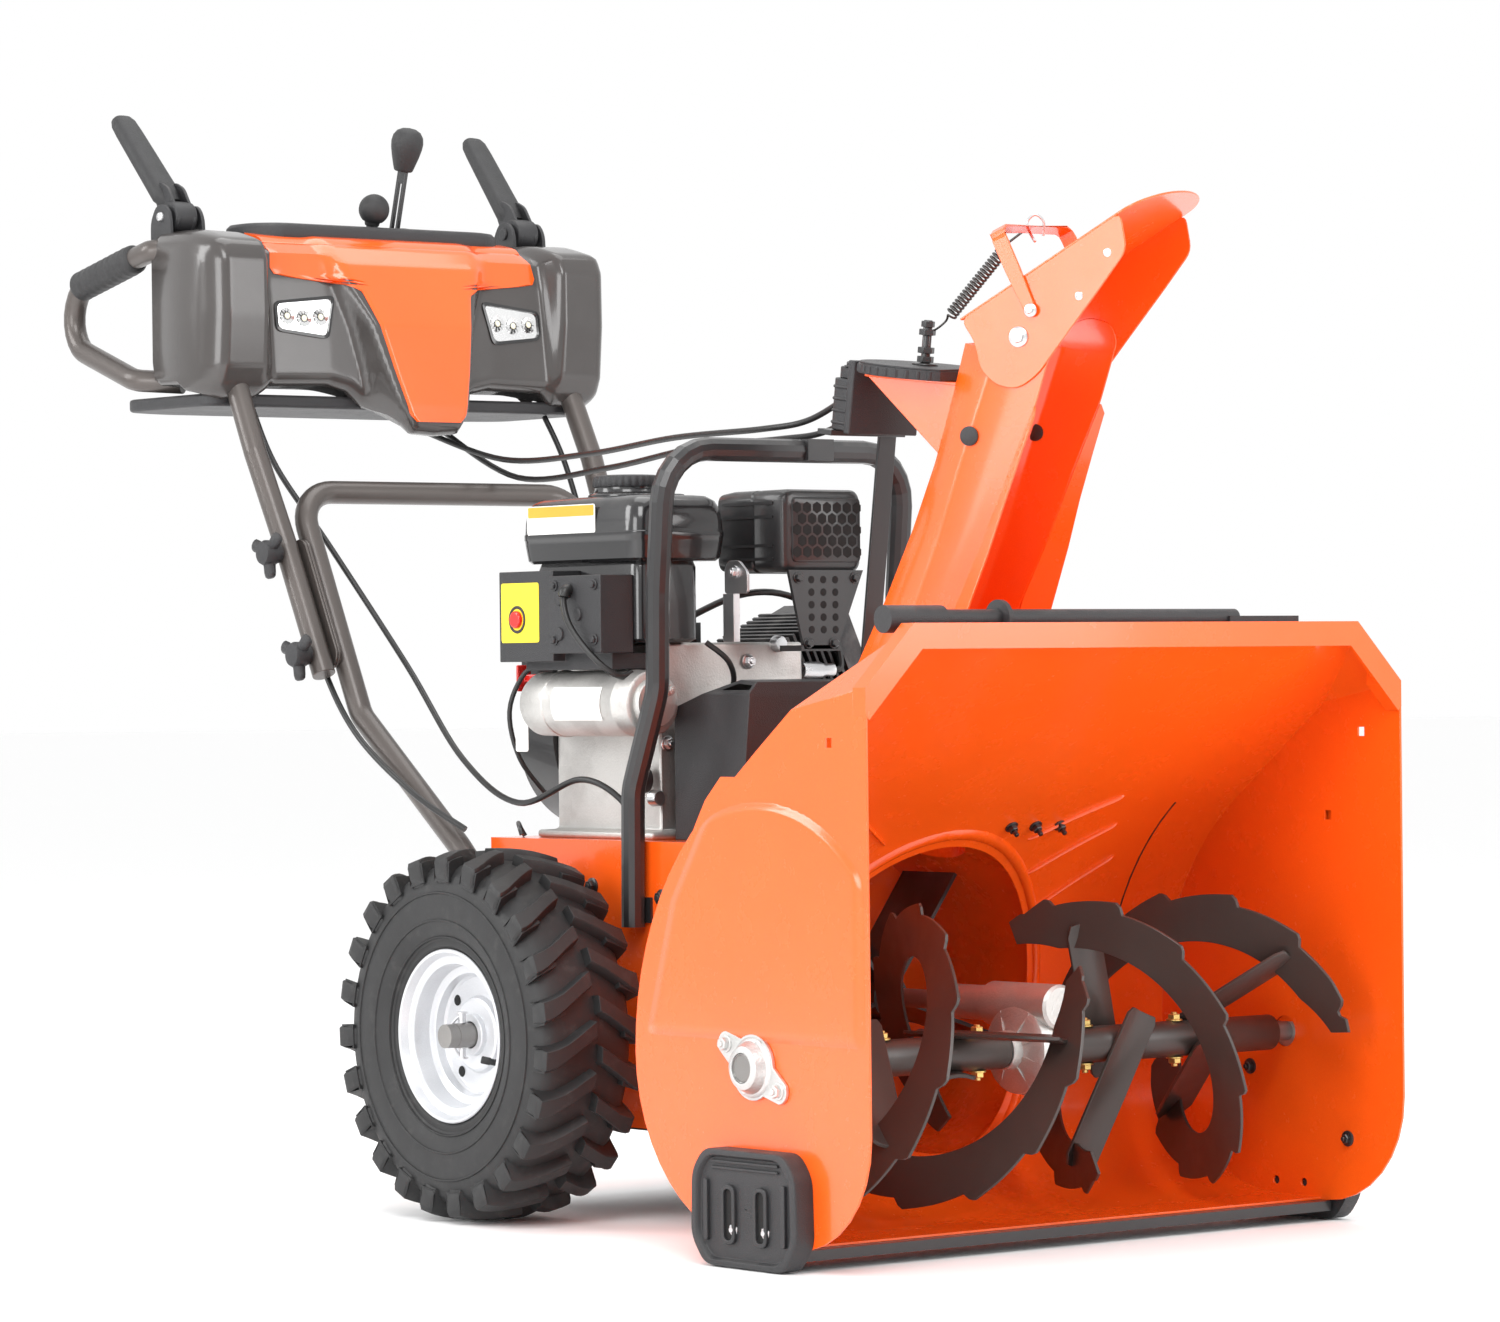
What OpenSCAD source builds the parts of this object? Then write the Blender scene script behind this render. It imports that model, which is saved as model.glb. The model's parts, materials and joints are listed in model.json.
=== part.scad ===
// Two-stage walk-behind snow blower, modelled as separate pieces in one frame.
// Millimetres. +Z is up, -Y is the front of the machine, +X is the operator's left.
// Heights are measured from the ground, lengths from the wheel axle until place() centres them.

/* [Clearing housing] */
// Width of the auger housing across its side plates
housing_w = 690; // [600:10:760]
// Height of the front lip above the ground
housing_h = 602; // [560:2:640]
// Distance from the wheel axle forward to the front edge of the housing
housing_reach = 718; // [700:2:760]
// Thickness of the housing sheet
sheet_t = 2.5; // [2:0.5:4]
// Size of the sloped top corners of the housing mouth
corner_bevel = 59; // [40:1:70]
// Radius of the lower front corners of the side plates
toe_r = 110; // [60:5:120]

/* [Augers and impeller] */
// Outside diameter of the auger ribbons
auger_d = 300; // [270:2:304]
// Width of an auger ribbon
ribbon_w = 54; // [36:1:60]
// Thickness of an auger ribbon
ribbon_t = 4; // [3:0.5:6]
// Diameter of the auger tubes
auger_tube_d = 36; // [30:1:44]
// Diameter of the auger shaft
auger_shaft_d = 19; // [16:1:24]
// Outside diameter of the impeller
impeller_d = 300; // [260:2:304]
// Inside diameter of the impeller drum
drum_d = 318; // [312:2:330]
// Depth of the impeller blades
impeller_depth = 82; // [60:1:86]

/* [Skids] */
// Length of a skid shoe
skid_l = 160; // [130:2:190]
// Height of a skid shoe
skid_h = 112; // [100:1:120]
// Thickness of a skid shoe
skid_t = 22; // [14:1:26]
// How far a skid can be lowered
skid_travel = 30; // [16:1:32]

/* [Wheels] */
// Outside diameter of the tyres
tyre_d = 381; // [350:1:400]
// Width of the tyres
tyre_w = 127; // [100:1:135]
// Diameter of the rims at their flanges
rim_d = 178; // [150:1:200]
// Distance between the middles of the tyres
track = 512; // [500:2:540]
// Diameter of the axle
axle_d = 25.4; // [19:0.1:30]

/* [Frame and handles] */
// Width of the frame case
frame_w = 290; // [270:2:300]
// Height of the top of the frame case
frame_top = 387; // [380:1:395]
// Height of the bottom of the frame case
frame_bottom = 93; // [85:1:110]
// Distance from the axle to the rear of the frame case
frame_rear = 147; // [130:1:160]
// Diameter of the handle tubes
handle_tube_d = 25.4; // [22:0.1:28]
// Wall of the handle tubes
handle_wall = 2; // [1.5:0.5:3]
// Distance between the lower handle tubes
lower_spread = 380; // [340:2:400]
// Distance between the upper handle tubes at the control panel
upper_spread = 460; // [440:2:480]
// How far the upper handle folds back, in degrees
fold_angle = 105; // [60:1:110]

/* [Chute] */
// Direction of the chute at rest, in degrees from straight ahead
chute_turn = 24; // [-60:1:60]
// Forward lean of the chute's turning axis, in degrees
chute_lean = 8; // [0:1:12]
// Width of the chute
chute_w = 156; // [140:2:164]
// Thickness of the chute sheet
chute_t = 2; // [1.5:0.5:3]

/* [Engine] */
// Height of the crankshaft above the frame
crank_h = 106; // [100:1:112]
// Diameter of the crankshaft pulley
crank_pulley_d = 70; // [60:1:76]
// Diameter of the impeller pulley
impeller_pulley_d = 190; // [170:2:200]

/* [Hidden] */
eps = 0.01;
run_fit = 0.05;      // radial clearance of a turning shaft
gap = 0.4;           // space between faces that move past each other
$fn = 48;

half_w = housing_w / 2;
auger_r = auger_d / 2;
auger_y = -(housing_reach - 168);
auger_z = 188;
auger_pin_r = auger_shaft_d / 2;
wrap_c = [auger_y + 10, 195];       // centre of the round lower back of the housing
wrap_r = 175;
brow_r = 290;
brow_a = 52;
impeller_z = 230;
drum_front = -470;
drum_rear = -225;
drum_wall = 2.5;
axle_z = tyre_d / 2;
axle_r = axle_d / 2;
wheel_x = track / 2;
rim_r = rim_d / 2;
rim_half = tyre_w / 2 - 11.5;
frame_x = frame_w / 2;
frame_t = 3;
crank_z = frame_top + crank_h;
pulley_y = -190;
pulley_w = 18;
lower_x = lower_spread / 2;
upper_x = upper_spread / 2;
tube_r = handle_tube_d / 2;
fold_y = 353;
fold_z = 583;
latch_y = 408;
latch_z = 694;
lug_x = lower_x + tube_r;           // outer face of the lower tube
lug_t = 4;
chute_base = [0, -335, impeller_z + drum_d / 2 + 6];
chute_half = chute_w / 2;
hood_s = 137;
hood_h = 513;
rear_end = 811;                     // rearmost point of the loop handles

// Moves the machine so that its origin is under the middle of its length.
module place() translate([0, (housing_reach - rear_end) / 2, 0]) children();

// Points the children's +Z along v, standing at p.
module aim(p, v)
    translate(p) rotate([0, acos(v.z / norm(v)), atan2(v.y, v.x)]) children();
module rod(a, b, d) aim(a, b - a) cylinder(d = d, h = norm(b - a));
module box(a, b) translate(a) cube(b - a);
module along_x(x, y, z) translate([x, y, z]) rotate([0, 90, 0]) children();
module along_y(x, y, z) translate([x, y, z]) rotate([-90, 0, 0]) children();
module both_sides() for (m = [0, 1]) mirror([m, 0, 0]) children();
module chute_frame() translate(chute_base) rotate([chute_lean, 0, 0]) rotate([0, 0, chute_turn]) children();
// A thin plate drawn in the chute's side view (forward, up) at x, t thick towards +X.
module side_plate(x, t, pts)
    translate([x, 0, 0]) rotate([90, 0, 90]) linear_extrude(t) polygon([for (p = pts) [-p.x, p.y]]);

// ---- swept tubes ----
function unit(v) = v / norm(v);
function spline(p, n) = [for (i = [0 : len(p) - 2], k = [0 : n - 1])
    let (a = p[max(i - 1, 0)], b = p[i], c = p[i + 1], d = p[min(i + 2, len(p) - 1)], t = k / n)
    0.5 * (2 * b + (c - a) * t + (2 * a - 5 * b + 4 * c - d) * t * t + (3 * b - a - 3 * c + d) * t * t * t),
    p[len(p) - 1]];
// Corners of p rounded to radius r, n points on each bend.
function bent(p, r, n) = [p[0], for (i = [1 : len(p) - 2])
    let (u = unit(p[i - 1] - p[i]), w = unit(p[i + 1] - p[i]), half = acos(u * w) / 2,
         t = r / tan(half), mid = unit(u + w), c = p[i] + mid * r / sin(half), turn = 180 - 2 * half,
         ex = unit(p[i] + u * t - c), ey = -u)
    for (k = [0 : n]) c + r * (cos(turn * k / n) * ex + sin(turn * k / n) * ey),
    p[len(p) - 1]];
function tangent(p, i) = unit(p[min(i + 1, len(p) - 1)] - p[max(i - 1, 0)]);
function side_of(t) = unit(cross(t, abs(t.x) < 0.8 ? [1, 0, 0] : [0, 0, 1]));
function carry(p, i, s) = i == 0 ? [s] : let (q = carry(p, i - 1, s), t = tangent(p, i), v = q[i - 1])
    concat(q, [unit(v - (v * t) * t)]);
function ring_of(p, r, n) = let (sides = carry(p, len(p) - 1, side_of(tangent(p, 0))))
    [for (i = [0 : len(p) - 1]) let (t = tangent(p, i), a = sides[i], b = cross(t, a))
        for (k = [0 : n - 1]) p[i] + r * (cos(360 * k / n) * a + sin(360 * k / n) * b)];
module sweep(p, d, n = 12)
    polyhedron(ring_of(p, d / 2, n), concat(
        [[for (k = [0 : n - 1]) k]],
        [for (i = [0 : len(p) - 2], k = [0 : n - 1]) let (a = i * n, b = a + n, m = (k + 1) % n)
            [a + k, b + k, b + m, a + m]],
        [[for (k = [n - 1 : -1 : 0]) (len(p) - 1) * n + k]]), convexity = 6);
// A hollow tube along p with rounded corners.
module bent_tube(p, bend, d, wall, n = 16) {
    q = bent(p, bend, 6);
    l = len(q);
    polyhedron(concat(ring_of(q, d / 2, n), ring_of(q, d / 2 - wall, n)), concat(
        [for (i = [0 : l - 2], k = [0 : n - 1]) let (a = i * n, b = a + n, m = (k + 1) % n)
            [a + k, b + k, b + m, a + m]],
        [for (i = [0 : l - 2], k = [0 : n - 1]) let (a = (l + i) * n, b = a + n, m = (k + 1) % n)
            [a + m, b + m, b + k, a + k]],
        [for (k = [0 : n - 1]) let (m = (k + 1) % n, o = l * n) [k, m, o + m, o + k]],
        [for (k = [0 : n - 1]) let (m = (k + 1) % n, o = (l - 1) * n, i = (2 * l - 1) * n) [o + m, o + k, i + k, i + m]]),
        convexity = 10);
}

// ---- clearing housing ----
function arc(c, r, a0, a1, n) = [for (k = [0 : n]) let (a = a0 + (a1 - a0) * k / n) c + r * [cos(a), sin(a)]];
function brow_end(t) = [wrap_c.x + wrap_r - brow_r, wrap_c.y] + (brow_r - t) * [cos(brow_a), sin(brow_a)];
function crest(t, n) = let (p = brow_end(t), q = [-housing_reach, housing_h - 3] - t * [0.47, 0.88],
        c = p + 0.5 * norm(q - p) * [-sin(brow_a), cos(brow_a)])
    [for (k = [1 : n]) let (u = k / n) (1 - u) * (1 - u) * p + 2 * u * (1 - u) * c + u * u * q];
function back_line(t) = concat(arc(wrap_c, wrap_r - t, -90, 0, 12),
    arc([wrap_c.x + wrap_r - brow_r, wrap_c.y], brow_r - t, 5, brow_a, 9), crest(t, 6));
base_z = wrap_c.y - wrap_r;
mouth_y = -housing_reach + toe_r;

// The sloped top corners: everything above a plane that meets the mouth at 45 degrees
// and runs out towards the rear.
module above_bevel(t) {
    n = unit([1, 0.185, 1]);
    both_sides() aim([half_w - corner_bevel, -housing_reach, housing_h] - t * n, n)
        translate([-500, -500, 0]) cube([1000, 1000, 400]);
}
module housing_form() difference() {
    translate([-half_w, 0, 0]) rotate([90, 0, 90]) linear_extrude(housing_w)
        polygon(concat(back_line(0), arc([mouth_y, base_z + toe_r], toe_r, 180, 270, 8)));
    above_bevel(0);
}
module housing_cavity() difference() {
    translate([-half_w + sheet_t, 0, 0]) rotate([90, 0, 90]) linear_extrude(housing_w - 2 * sheet_t)
        polygon(concat(back_line(sheet_t), [[-housing_reach - 30, housing_h + 10],
            [-housing_reach - 30, -20], [mouth_y + 8, -20], [mouth_y + 8, base_z + sheet_t]]));
    above_bevel(sheet_t);
}
module lip_form() intersection() {
    translate([-half_w, -housing_reach, 0]) cube([housing_w, 18, housing_h]);
    difference() {
        union() {
            translate([-half_w, -housing_reach, housing_h - 24]) cube([housing_w, 18, 24]);
            both_sides() translate([half_w - corner_bevel, -housing_reach, housing_h]) rotate([0, 45, 0])
                translate([-12, 0, -24]) cube([corner_bevel * sqrt(2) + 30, 18, 24]);
        }
        both_sides() translate([half_w - corner_bevel, -housing_reach - 1, housing_h]) rotate([0, 45, 0])
            translate([-100, 0, 0]) cube([300, 30, 60]);
    }
}
module auger_housing() color("orangered") place() difference() {
    housing_form();
    housing_cavity();
    lip_form();
    along_y(0, drum_front - 60, impeller_z) cylinder(r = drum_d / 2 - 6, h = 200);
    both_sides() along_x(half_w - 20, auger_y, auger_z) cylinder(d = auger_shaft_d + 12, h = 40);
    both_sides() for (p = [[-668, 488], [-620, 404]]) translate([half_w - 5, p.x, p.y]) cube([10, 9, 9]);
    skid_holes(4.2);
}
module housing_lip() color("orangered") place() difference() {
    lip_form();
    translate([0, 4, -3]) scale([1, 1, 1]) intersection() {
        lip_form();
        translate([-half_w + 30, -housing_reach - 20, 0]) cube([housing_w - 60, 36, housing_h]);
    }
}
module impeller_housing() color("orangered") place() difference() {
    union() {
        along_y(0, drum_front, impeller_z) cylinder(d = drum_d + 2 * drum_wall, h = drum_rear - drum_front);
        chute_frame() translate([0, 0, -60]) cylinder(r = 82, h = 94);
        chute_frame() translate([0, 0, 28]) cylinder(r = 95, h = 6);
        along_y(0, drum_rear - 24, impeller_z) cylinder(d = auger_shaft_d + 30, h = 44);
    }
    difference() {
        along_y(0, drum_front - 1, impeller_z) cylinder(d = drum_d, h = drum_rear - drum_front - 2);
        along_y(0, drum_rear - 24, impeller_z) cylinder(d = auger_shaft_d + 30, h = 44);
    }
    chute_frame() translate([0, 0, -100]) cylinder(r = 79, h = 140);
    along_y(0, drum_rear - 30, impeller_z) cylinder(r = auger_pin_r + run_fit, h = 60);
    housing_form();
}
module scraper_bar() color("dimgray") place() difference() {
    box([-half_w + sheet_t + 1, mouth_y - 8, base_z - 10], [half_w - sheet_t - 1, mouth_y + 52, base_z]);
    for (x = [-240 : 160 : 240]) translate([x, mouth_y + 30, base_z - 4.5]) cylinder(r = 8, h = 6);
}
module shaft_bearings() color("silver") place() {
    both_sides() difference() {
        union() {
            along_x(half_w, auger_y, auger_z) hull() {
                cylinder(r = 24, h = 4, $fn = 32);
                for (s = [-1, 1]) rotate([0, 0, 25]) translate([34 * s, 0, 0]) cylinder(r = 9, h = 4, $fn = 32);
            }
            along_x(half_w, auger_y, auger_z) cylinder(r = 19, h = 15);
            along_x(half_w + 4 - eps, auger_y, auger_z) rotate([0, 0, 25])
                for (s = [-1, 1]) translate([34 * s, 0, 0]) cylinder(r = 6.5, h = 5, $fn = 6);
        }
        along_x(half_w - 10, auger_y, auger_z) cylinder(r = auger_pin_r + run_fit, h = 23);
    }
    both_sides() difference() {
        along_x(frame_x, 0, axle_z) cylinder(r = 34, h = 4);
        along_x(frame_x - 1, 0, axle_z) cylinder(r = axle_r + run_fit, h = 8);
    }
}

// ---- skids ----
skid_y = auger_y - 6;
slot_dx = 40;
module skid_holes(r) both_sides() for (s = [-1, 1])
    along_x(half_w - 12, skid_y + s * slot_dx / 2, 36) cylinder(r = r, h = 40);
module skid(m) color([0.13, 0.13, 0.14]) place() mirror([m, 0, 0]) difference() {
    translate([half_w + gap, skid_y, 0]) rotate([90, 0, 90]) linear_extrude(skid_t)
        polygon([[-skid_l / 2 + 22, 0], [skid_l / 2 - 22, 0], [skid_l / 2, 18], [skid_l / 2, skid_h - 22],
            [skid_l / 2 - 14, skid_h - 6], [26, skid_h], [-26, skid_h], [-skid_l / 2 + 14, skid_h - 6],
            [-skid_l / 2, skid_h - 22], [-skid_l / 2, 18]]);
    for (s = [-1, 1]) translate([half_w - 5, skid_y + s * slot_dx / 2, 0]) {
        translate([0, -4.8, 36 - 5]) cube([60, 9.6, skid_travel + 10]);
        along_x(0, 0, 36 - 5) translate([0, 0, 0]) cylinder(r = 4.8, h = 60);
        translate([16, -10, 14]) cube([60, 20, skid_travel + 42]);
    }
}
module skid_left() skid(0);
module skid_right() skid(1);
module skid_bolts() color("silver") place() both_sides() for (s = [-1, 1])
    along_x(half_w - 8, skid_y + s * slot_dx / 2, 36) {
        cylinder(r = 4, h = 24);
        translate([0, 0, 19.6]) cylinder(r = 9, h = 2);
        translate([0, 0, 21.6]) cylinder(r = 6.4, h = 6, $fn = 6);
        translate([0, 0, -0.5]) cylinder(r = 8, h = 6);
    }

// ---- augers and impeller ----
function ribbon_pts(x0, x1, a0, turns, n) = [for (i = [0 : n])
    let (u = i / n, a = a0 + 360 * turns * u, x = x0 + (x1 - x0) * u)
    for (c = [[auger_r - ribbon_w, 0], [auger_r, 0], [auger_r, ribbon_t], [auger_r - ribbon_w, ribbon_t]])
        [x + c.y - ribbon_t / 2, c.x * cos(a), c.x * sin(a)]];
module ribbon(x0, x1, a0, turns, n = 20)
    polyhedron(ribbon_pts(x0, x1, a0, turns, n), concat([[3, 2, 1, 0]],
        [for (i = [0 : n - 1], k = [0 : 3]) let (a = 4 * i, m = (k + 1) % 4) [a + m, a + 4 + m, a + 4 + k, a + k]],
        [[4 * n, 4 * n + 1, 4 * n + 2, 4 * n + 3]]), convexity = 6);
module spoke(x, x2, a) {
    r0 = auger_tube_d / 2 - 3;
    r1 = auger_r - ribbon_w + 10;
    p = [x, r0 * cos(a), r0 * sin(a)];
    q = [x2, r1 * cos(a), r1 * sin(a)];
    aim(p, q - p) rotate([0, 0, 0]) translate([-2.5, -18, 0]) cube([5, 36, norm(q - p)]);
}
bolt_xs = [70, 190];
module auger_drillings(r) for (s = [-1, 1], x = bolt_xs)
    translate([s * x, auger_y, auger_z - 30]) cylinder(r = r, h = 60);
auger_in = 40;
ribbon_in = 30;                     // inner end of the ribbons, clear of the gearbox neck
auger_out = half_w - 25;
module auger_half(s, start) {
    turns = s * 0.82;
    difference() {
        union() {
            along_x(auger_in, 0, 0) cylinder(d = auger_tube_d, h = auger_out - auger_in);
            for (k = [0, 1]) ribbon(ribbon_in, auger_out - 20, start + 180 * k, turns);
            for (k = [0, 1], u = [0.12, 0.88])
                spoke(ribbon_in + (auger_out - 20 - ribbon_in) * (0.3 + 0.4 * u),
                    ribbon_in + (auger_out - 20 - ribbon_in) * u, start + 180 * k + 360 * turns * u);
        }
        along_x(auger_in - 5, 0, 0) cylinder(r = auger_pin_r + run_fit, h = auger_out);
    }
}
module auger_left() color([0.27, 0.23, 0.21]) place() difference() {
    translate([0, auger_y, auger_z]) auger_half(1, 62);
    auger_drillings(4.1);
}
module auger_right() color([0.27, 0.23, 0.21]) place() difference() {
    translate([0, auger_y, auger_z]) mirror([1, 0, 0]) auger_half(1, 141);
    auger_drillings(4.1);
}
module auger_shaft() color("dimgray") place() difference() {
    union() {
        along_x(-half_w - 11, auger_y, auger_z) cylinder(r = auger_pin_r, h = housing_w + 22);
        along_x(-9, auger_y, auger_z) cylinder(r = 29.3, h = 18);
    }
    auger_drillings(4.1);
}
module shear_bolts() color("goldenrod") place() for (s = [-1, 1], x = bolt_xs)
    translate([s * x, auger_y, auger_z]) {
        translate([0, 0, -24]) cylinder(r = 4, h = 48);
        translate([0, 0, auger_tube_d / 2 + 0.6]) cylinder(r = 7, h = 5, $fn = 6);
        translate([0, 0, -auger_tube_d / 2 - 5.6]) cylinder(r = 7, h = 5, $fn = 6);
    }
module gearbox() color("silver") place() difference() {
    union() {
        along_x(-24, auger_y, auger_z) cylinder(r = 44, h = 48);
        along_x(-38, auger_y, auger_z) cylinder(r = 19, h = 76);
        along_y(0, auger_y - 44, impeller_z) cylinder(r = 22, h = 100);
        along_y(0, auger_y + 40, impeller_z) cylinder(r = 17, h = 60);
    }
    along_x(-50, auger_y, auger_z) cylinder(r = auger_pin_r + run_fit, h = 100);
    along_x(-11, auger_y, auger_z) cylinder(r = 30.5, h = 22);
    along_y(0, auger_y - 38, impeller_z) cylinder(r = auger_pin_r + run_fit, h = 200);
    along_y(0, auger_y - 20, impeller_z) cylinder(r = 13, h = 40);
}
module impeller() color([0.1, 0.1, 0.1]) place() difference() {
    union() {
        along_y(0, drum_rear - 30 - impeller_depth, impeller_z) cylinder(r = 22, h = impeller_depth);
        along_y(0, drum_rear - 34, impeller_z) cylinder(r = 64, h = 4);
        for (k = [0 : 4]) along_y(0, drum_rear - 30 - impeller_depth, impeller_z) rotate([0, 0, 72 * k + 18])
            translate([15, -2, 0]) cube([impeller_d / 2 - 15, 4, impeller_depth]);
    }
    along_y(0, drum_rear - 200, impeller_z) cylinder(r = auger_pin_r + run_fit, h = 200);
}
module impeller_shaft() color("dimgray") place() {
    along_y(0, auger_y - 37, impeller_z) cylinder(r = auger_pin_r, h = pulley_y + 24 - auger_y + 37);
    along_y(0, auger_y - 18, impeller_z) cylinder(r = 12.3, h = 36);
    along_y(0, pulley_y, impeller_z) difference() {
        cylinder(d = impeller_pulley_d, h = pulley_w);
        translate([0, 0, -1]) cylinder(r = auger_pin_r - 1, h = pulley_w + 2);
        for (k = [0 : 3]) rotate([0, 0, 90 * k + 45]) translate([impeller_pulley_d / 4, 0, -1])
            cylinder(r = impeller_pulley_d / 10, h = pulley_w + 2);
    }
}
module engine_pulley() color("dimgray") place() {
    along_y(0, pulley_y, crank_z) cylinder(d = crank_pulley_d, h = pulley_w);
    along_y(0, pulley_y - 5, crank_z) cylinder(r = 12.7, h = 130);
}
module belt_ring(off) hull() {
    along_y(0, 0, impeller_z) cylinder(r = impeller_pulley_d / 2 + off, h = 12, $fn = 48);
    along_y(0, 0, crank_z) cylinder(r = crank_pulley_d / 2 + off, h = 12, $fn = 32);
}
module auger_belt() color([0.08, 0.08, 0.08]) place() translate([0, pulley_y + 3, 0]) difference() {
    belt_ring(7);
    translate([0, -1, 0]) belt_ring(0.9);
    translate([0, 1, 0]) belt_ring(0.9);
}

// ---- frame case and drive ----
disc_z = 290;
disc_face = -117;
friction_r = 60;
module frame_case() color("orangered") place() difference() {
    union() {
        difference() {
            box([-frame_x, drum_rear, frame_bottom], [frame_x, frame_rear, frame_top]);
            box([-frame_x + frame_t, drum_rear + frame_t, frame_bottom - 1],
                [frame_x - frame_t, frame_rear - frame_t, frame_top - frame_t]);
        }
        box([-frame_x + 1, -143, disc_z - 22], [frame_x - 1, -138, disc_z + 22]);
    }
    box([-frame_x + 25, -206, frame_top - 10], [frame_x - 25, -160, frame_top + 1]);
    along_y(0, drum_rear - 1, impeller_z) cylinder(d = auger_shaft_d + 32, h = 10);
    along_x(-frame_x - 1, 0, axle_z) cylinder(r = axle_r + 4, h = frame_w + 2);
    along_x(-frame_x - 1, disc_face + friction_r + 0.4, disc_z) cylinder(r = 8 + run_fit, h = frame_w + 2);
    along_y(0, -150, disc_z) cylinder(r = 8 + run_fit, h = 20);
}
module bottom_cover() color([0.15, 0.15, 0.16]) place()
    box([-frame_x, drum_rear + 6, frame_bottom - 2], [frame_x, frame_rear, frame_bottom]);
module drive_disc() color("silver") place() {
    along_y(0, -162, disc_z) cylinder(r = 48, h = 16);
    along_y(0, -162, disc_z) cylinder(r = 8, h = disc_face + 162);
    along_y(0, disc_face - 8, disc_z) cylinder(r = 84, h = 8);
}
module friction_wheel() color([0.1, 0.1, 0.1]) place() translate([0, disc_face + friction_r + 0.4, disc_z]) {
    along_x(-frame_x - 4, 0, 0) cylinder(r = 8, h = frame_w + 8);
    along_x(-frame_x + 10, 0, 0) cylinder(r = 11, h = frame_w - 20, $fn = 6);
    along_x(30, 0, 0) cylinder(r = friction_r, h = 14);
}

// ---- wheels ----
axle_end = wheel_x + 56;
module axle() color("dimgray") place() difference() {
    union() {
        along_x(12 - axle_end, 0, axle_z) cylinder(r = axle_r, h = 2 * axle_end - 24);
        along_x(-axle_end, 0, axle_z) cylinder(r = axle_r - 0.5, h = 2 * axle_end);
    }
    both_sides() translate([wheel_x + 34, 0, axle_z - 30]) cylinder(r = 4.1, h = 60);
}
module rim(m) color("silver") place() mirror([m, 0, 0]) along_x(wheel_x, 0, axle_z) difference() {
    union() {
        rotate_extrude() polygon([[rim_r, rim_half], [rim_r, rim_half - 2.5], [rim_r - 12, rim_half - 8],
            [rim_r - 12, 8 - rim_half], [rim_r, 2.5 - rim_half], [rim_r, -rim_half], [rim_r - 3, -rim_half],
            [rim_r - 15, 9 - rim_half], [rim_r - 15, rim_half - 9], [rim_r - 3, rim_half]]);
        rotate_extrude() polygon([[rim_r - 14.5, 26], [62, 26], [57, 14], [40, 12], [37, 18], [20, 18], [20, 15],
            [35.5, 15], [38.5, 9], [58, 11], [64, 23], [rim_r - 14.5, 23]]);
        translate([0, 0, -40]) cylinder(r = 21, h = 64);
    }
    translate([0, 0, -60]) cylinder(r = axle_r + run_fit, h = 120);
}
module rim_left() rim(0);
module rim_right() rim(1);
module tyre(m) color([0.1, 0.1, 0.1]) place() mirror([m, 0, 0]) along_x(wheel_x, 0, axle_z)
    rotate_extrude() difference() {
        polygon(concat([for (p = tyre_side) [p.x, -p.y]],
            [for (i = [len(tyre_side) - 1 : -1 : 0]) tyre_side[i]]));
        polygon(concat([for (p = tyre_inner) [p.x, -p.y]], [for (i = [len(tyre_inner) - 1 : -1 : 0]) tyre_inner[i]]));
    }
tyre_side = [[rim_r - 11.7, tyre_w / 2 - 22], [rim_r + 3, tyre_w / 2 - 11.4], [rim_r + 16, tyre_w / 2 - 4],
    [rim_r + 38, tyre_w / 2], [axle_z - 30, tyre_w / 2 - 0.5], [axle_z - 12, tyre_w / 2 - 3],
    [axle_z - 2, tyre_w / 2 - 14], [axle_z, tyre_w / 2 - 30]];
tyre_inner = [[rim_r - 11.7, tyre_w / 2 - 34], [rim_r + 12, tyre_w / 2 - 18], [rim_r + 40, tyre_w / 2 - 12],
    [axle_z - 34, tyre_w / 2 - 14], [axle_z - 20, tyre_w / 2 - 30]];
module tyre_left() tyre(0);
module tyre_right() tyre(1);
module wheel_pins() color("silver") place() both_sides()
    translate([wheel_x + 34, 0, axle_z - 24]) cylinder(r = 4, h = 48);

// ---- engine ----
block_front = -85;
block_top = crank_z + 97;
module engine_block() color("silver") place() difference() {
    union() {
        box([-95, block_front, frame_top + 8], [95, 95, block_top]);
        box([-115, block_front - 10, frame_top], [115, 105, frame_top + 8]);
        along_y(0, block_front - 20, crank_z) cylinder(r = 48, h = 22);
    }
    along_y(0, block_front - 40, crank_z) cylinder(r = 12.7 + run_fit, h = 120);
    box([-80, -60, frame_top + 20], [80, 80, crank_z - 30]);
    box([-80, -60, crank_z + 30], [80, 80, block_top - 15]);
}
module engine_cylinder() color([0.25, 0.25, 0.26]) place() difference() {
    translate([112, 5, crank_z + 48]) rotate([0, 65, 0]) {
        translate([0, 0, -40]) cylinder(r = 44, h = 130);
        for (k = [0 : 8]) translate([-54, -60, 9 * k]) cube([108, 120, 3.5]);
        translate([-50, -52, 78]) cube([100, 104, 26]);
    }
    box([-200, -200, 300], [95, 200, 700]);
}
module blower_housing() color([0.09, 0.09, 0.1]) place() difference() {
    union() {
        along_y(0, 95, crank_z) cylinder(r = 100, h = 62);
        along_y(0, 157, crank_z) cylinder(r = 74, h = 14);
        box([-100, 95.5, crank_z], [100, 150, crank_z + 120]);
    }
    along_y(0, 94, crank_z) cylinder(r = 94, h = 58);
    box([-94, 90, crank_z], [94, 145, crank_z + 115]);
    box([-200, 0, 0], [200, 300, frame_top + 8.5]);
    translate([60, 140, crank_z + 96]) rotate([-90, 0, 0]) cylinder(r = 6, h = 40);
}
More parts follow.
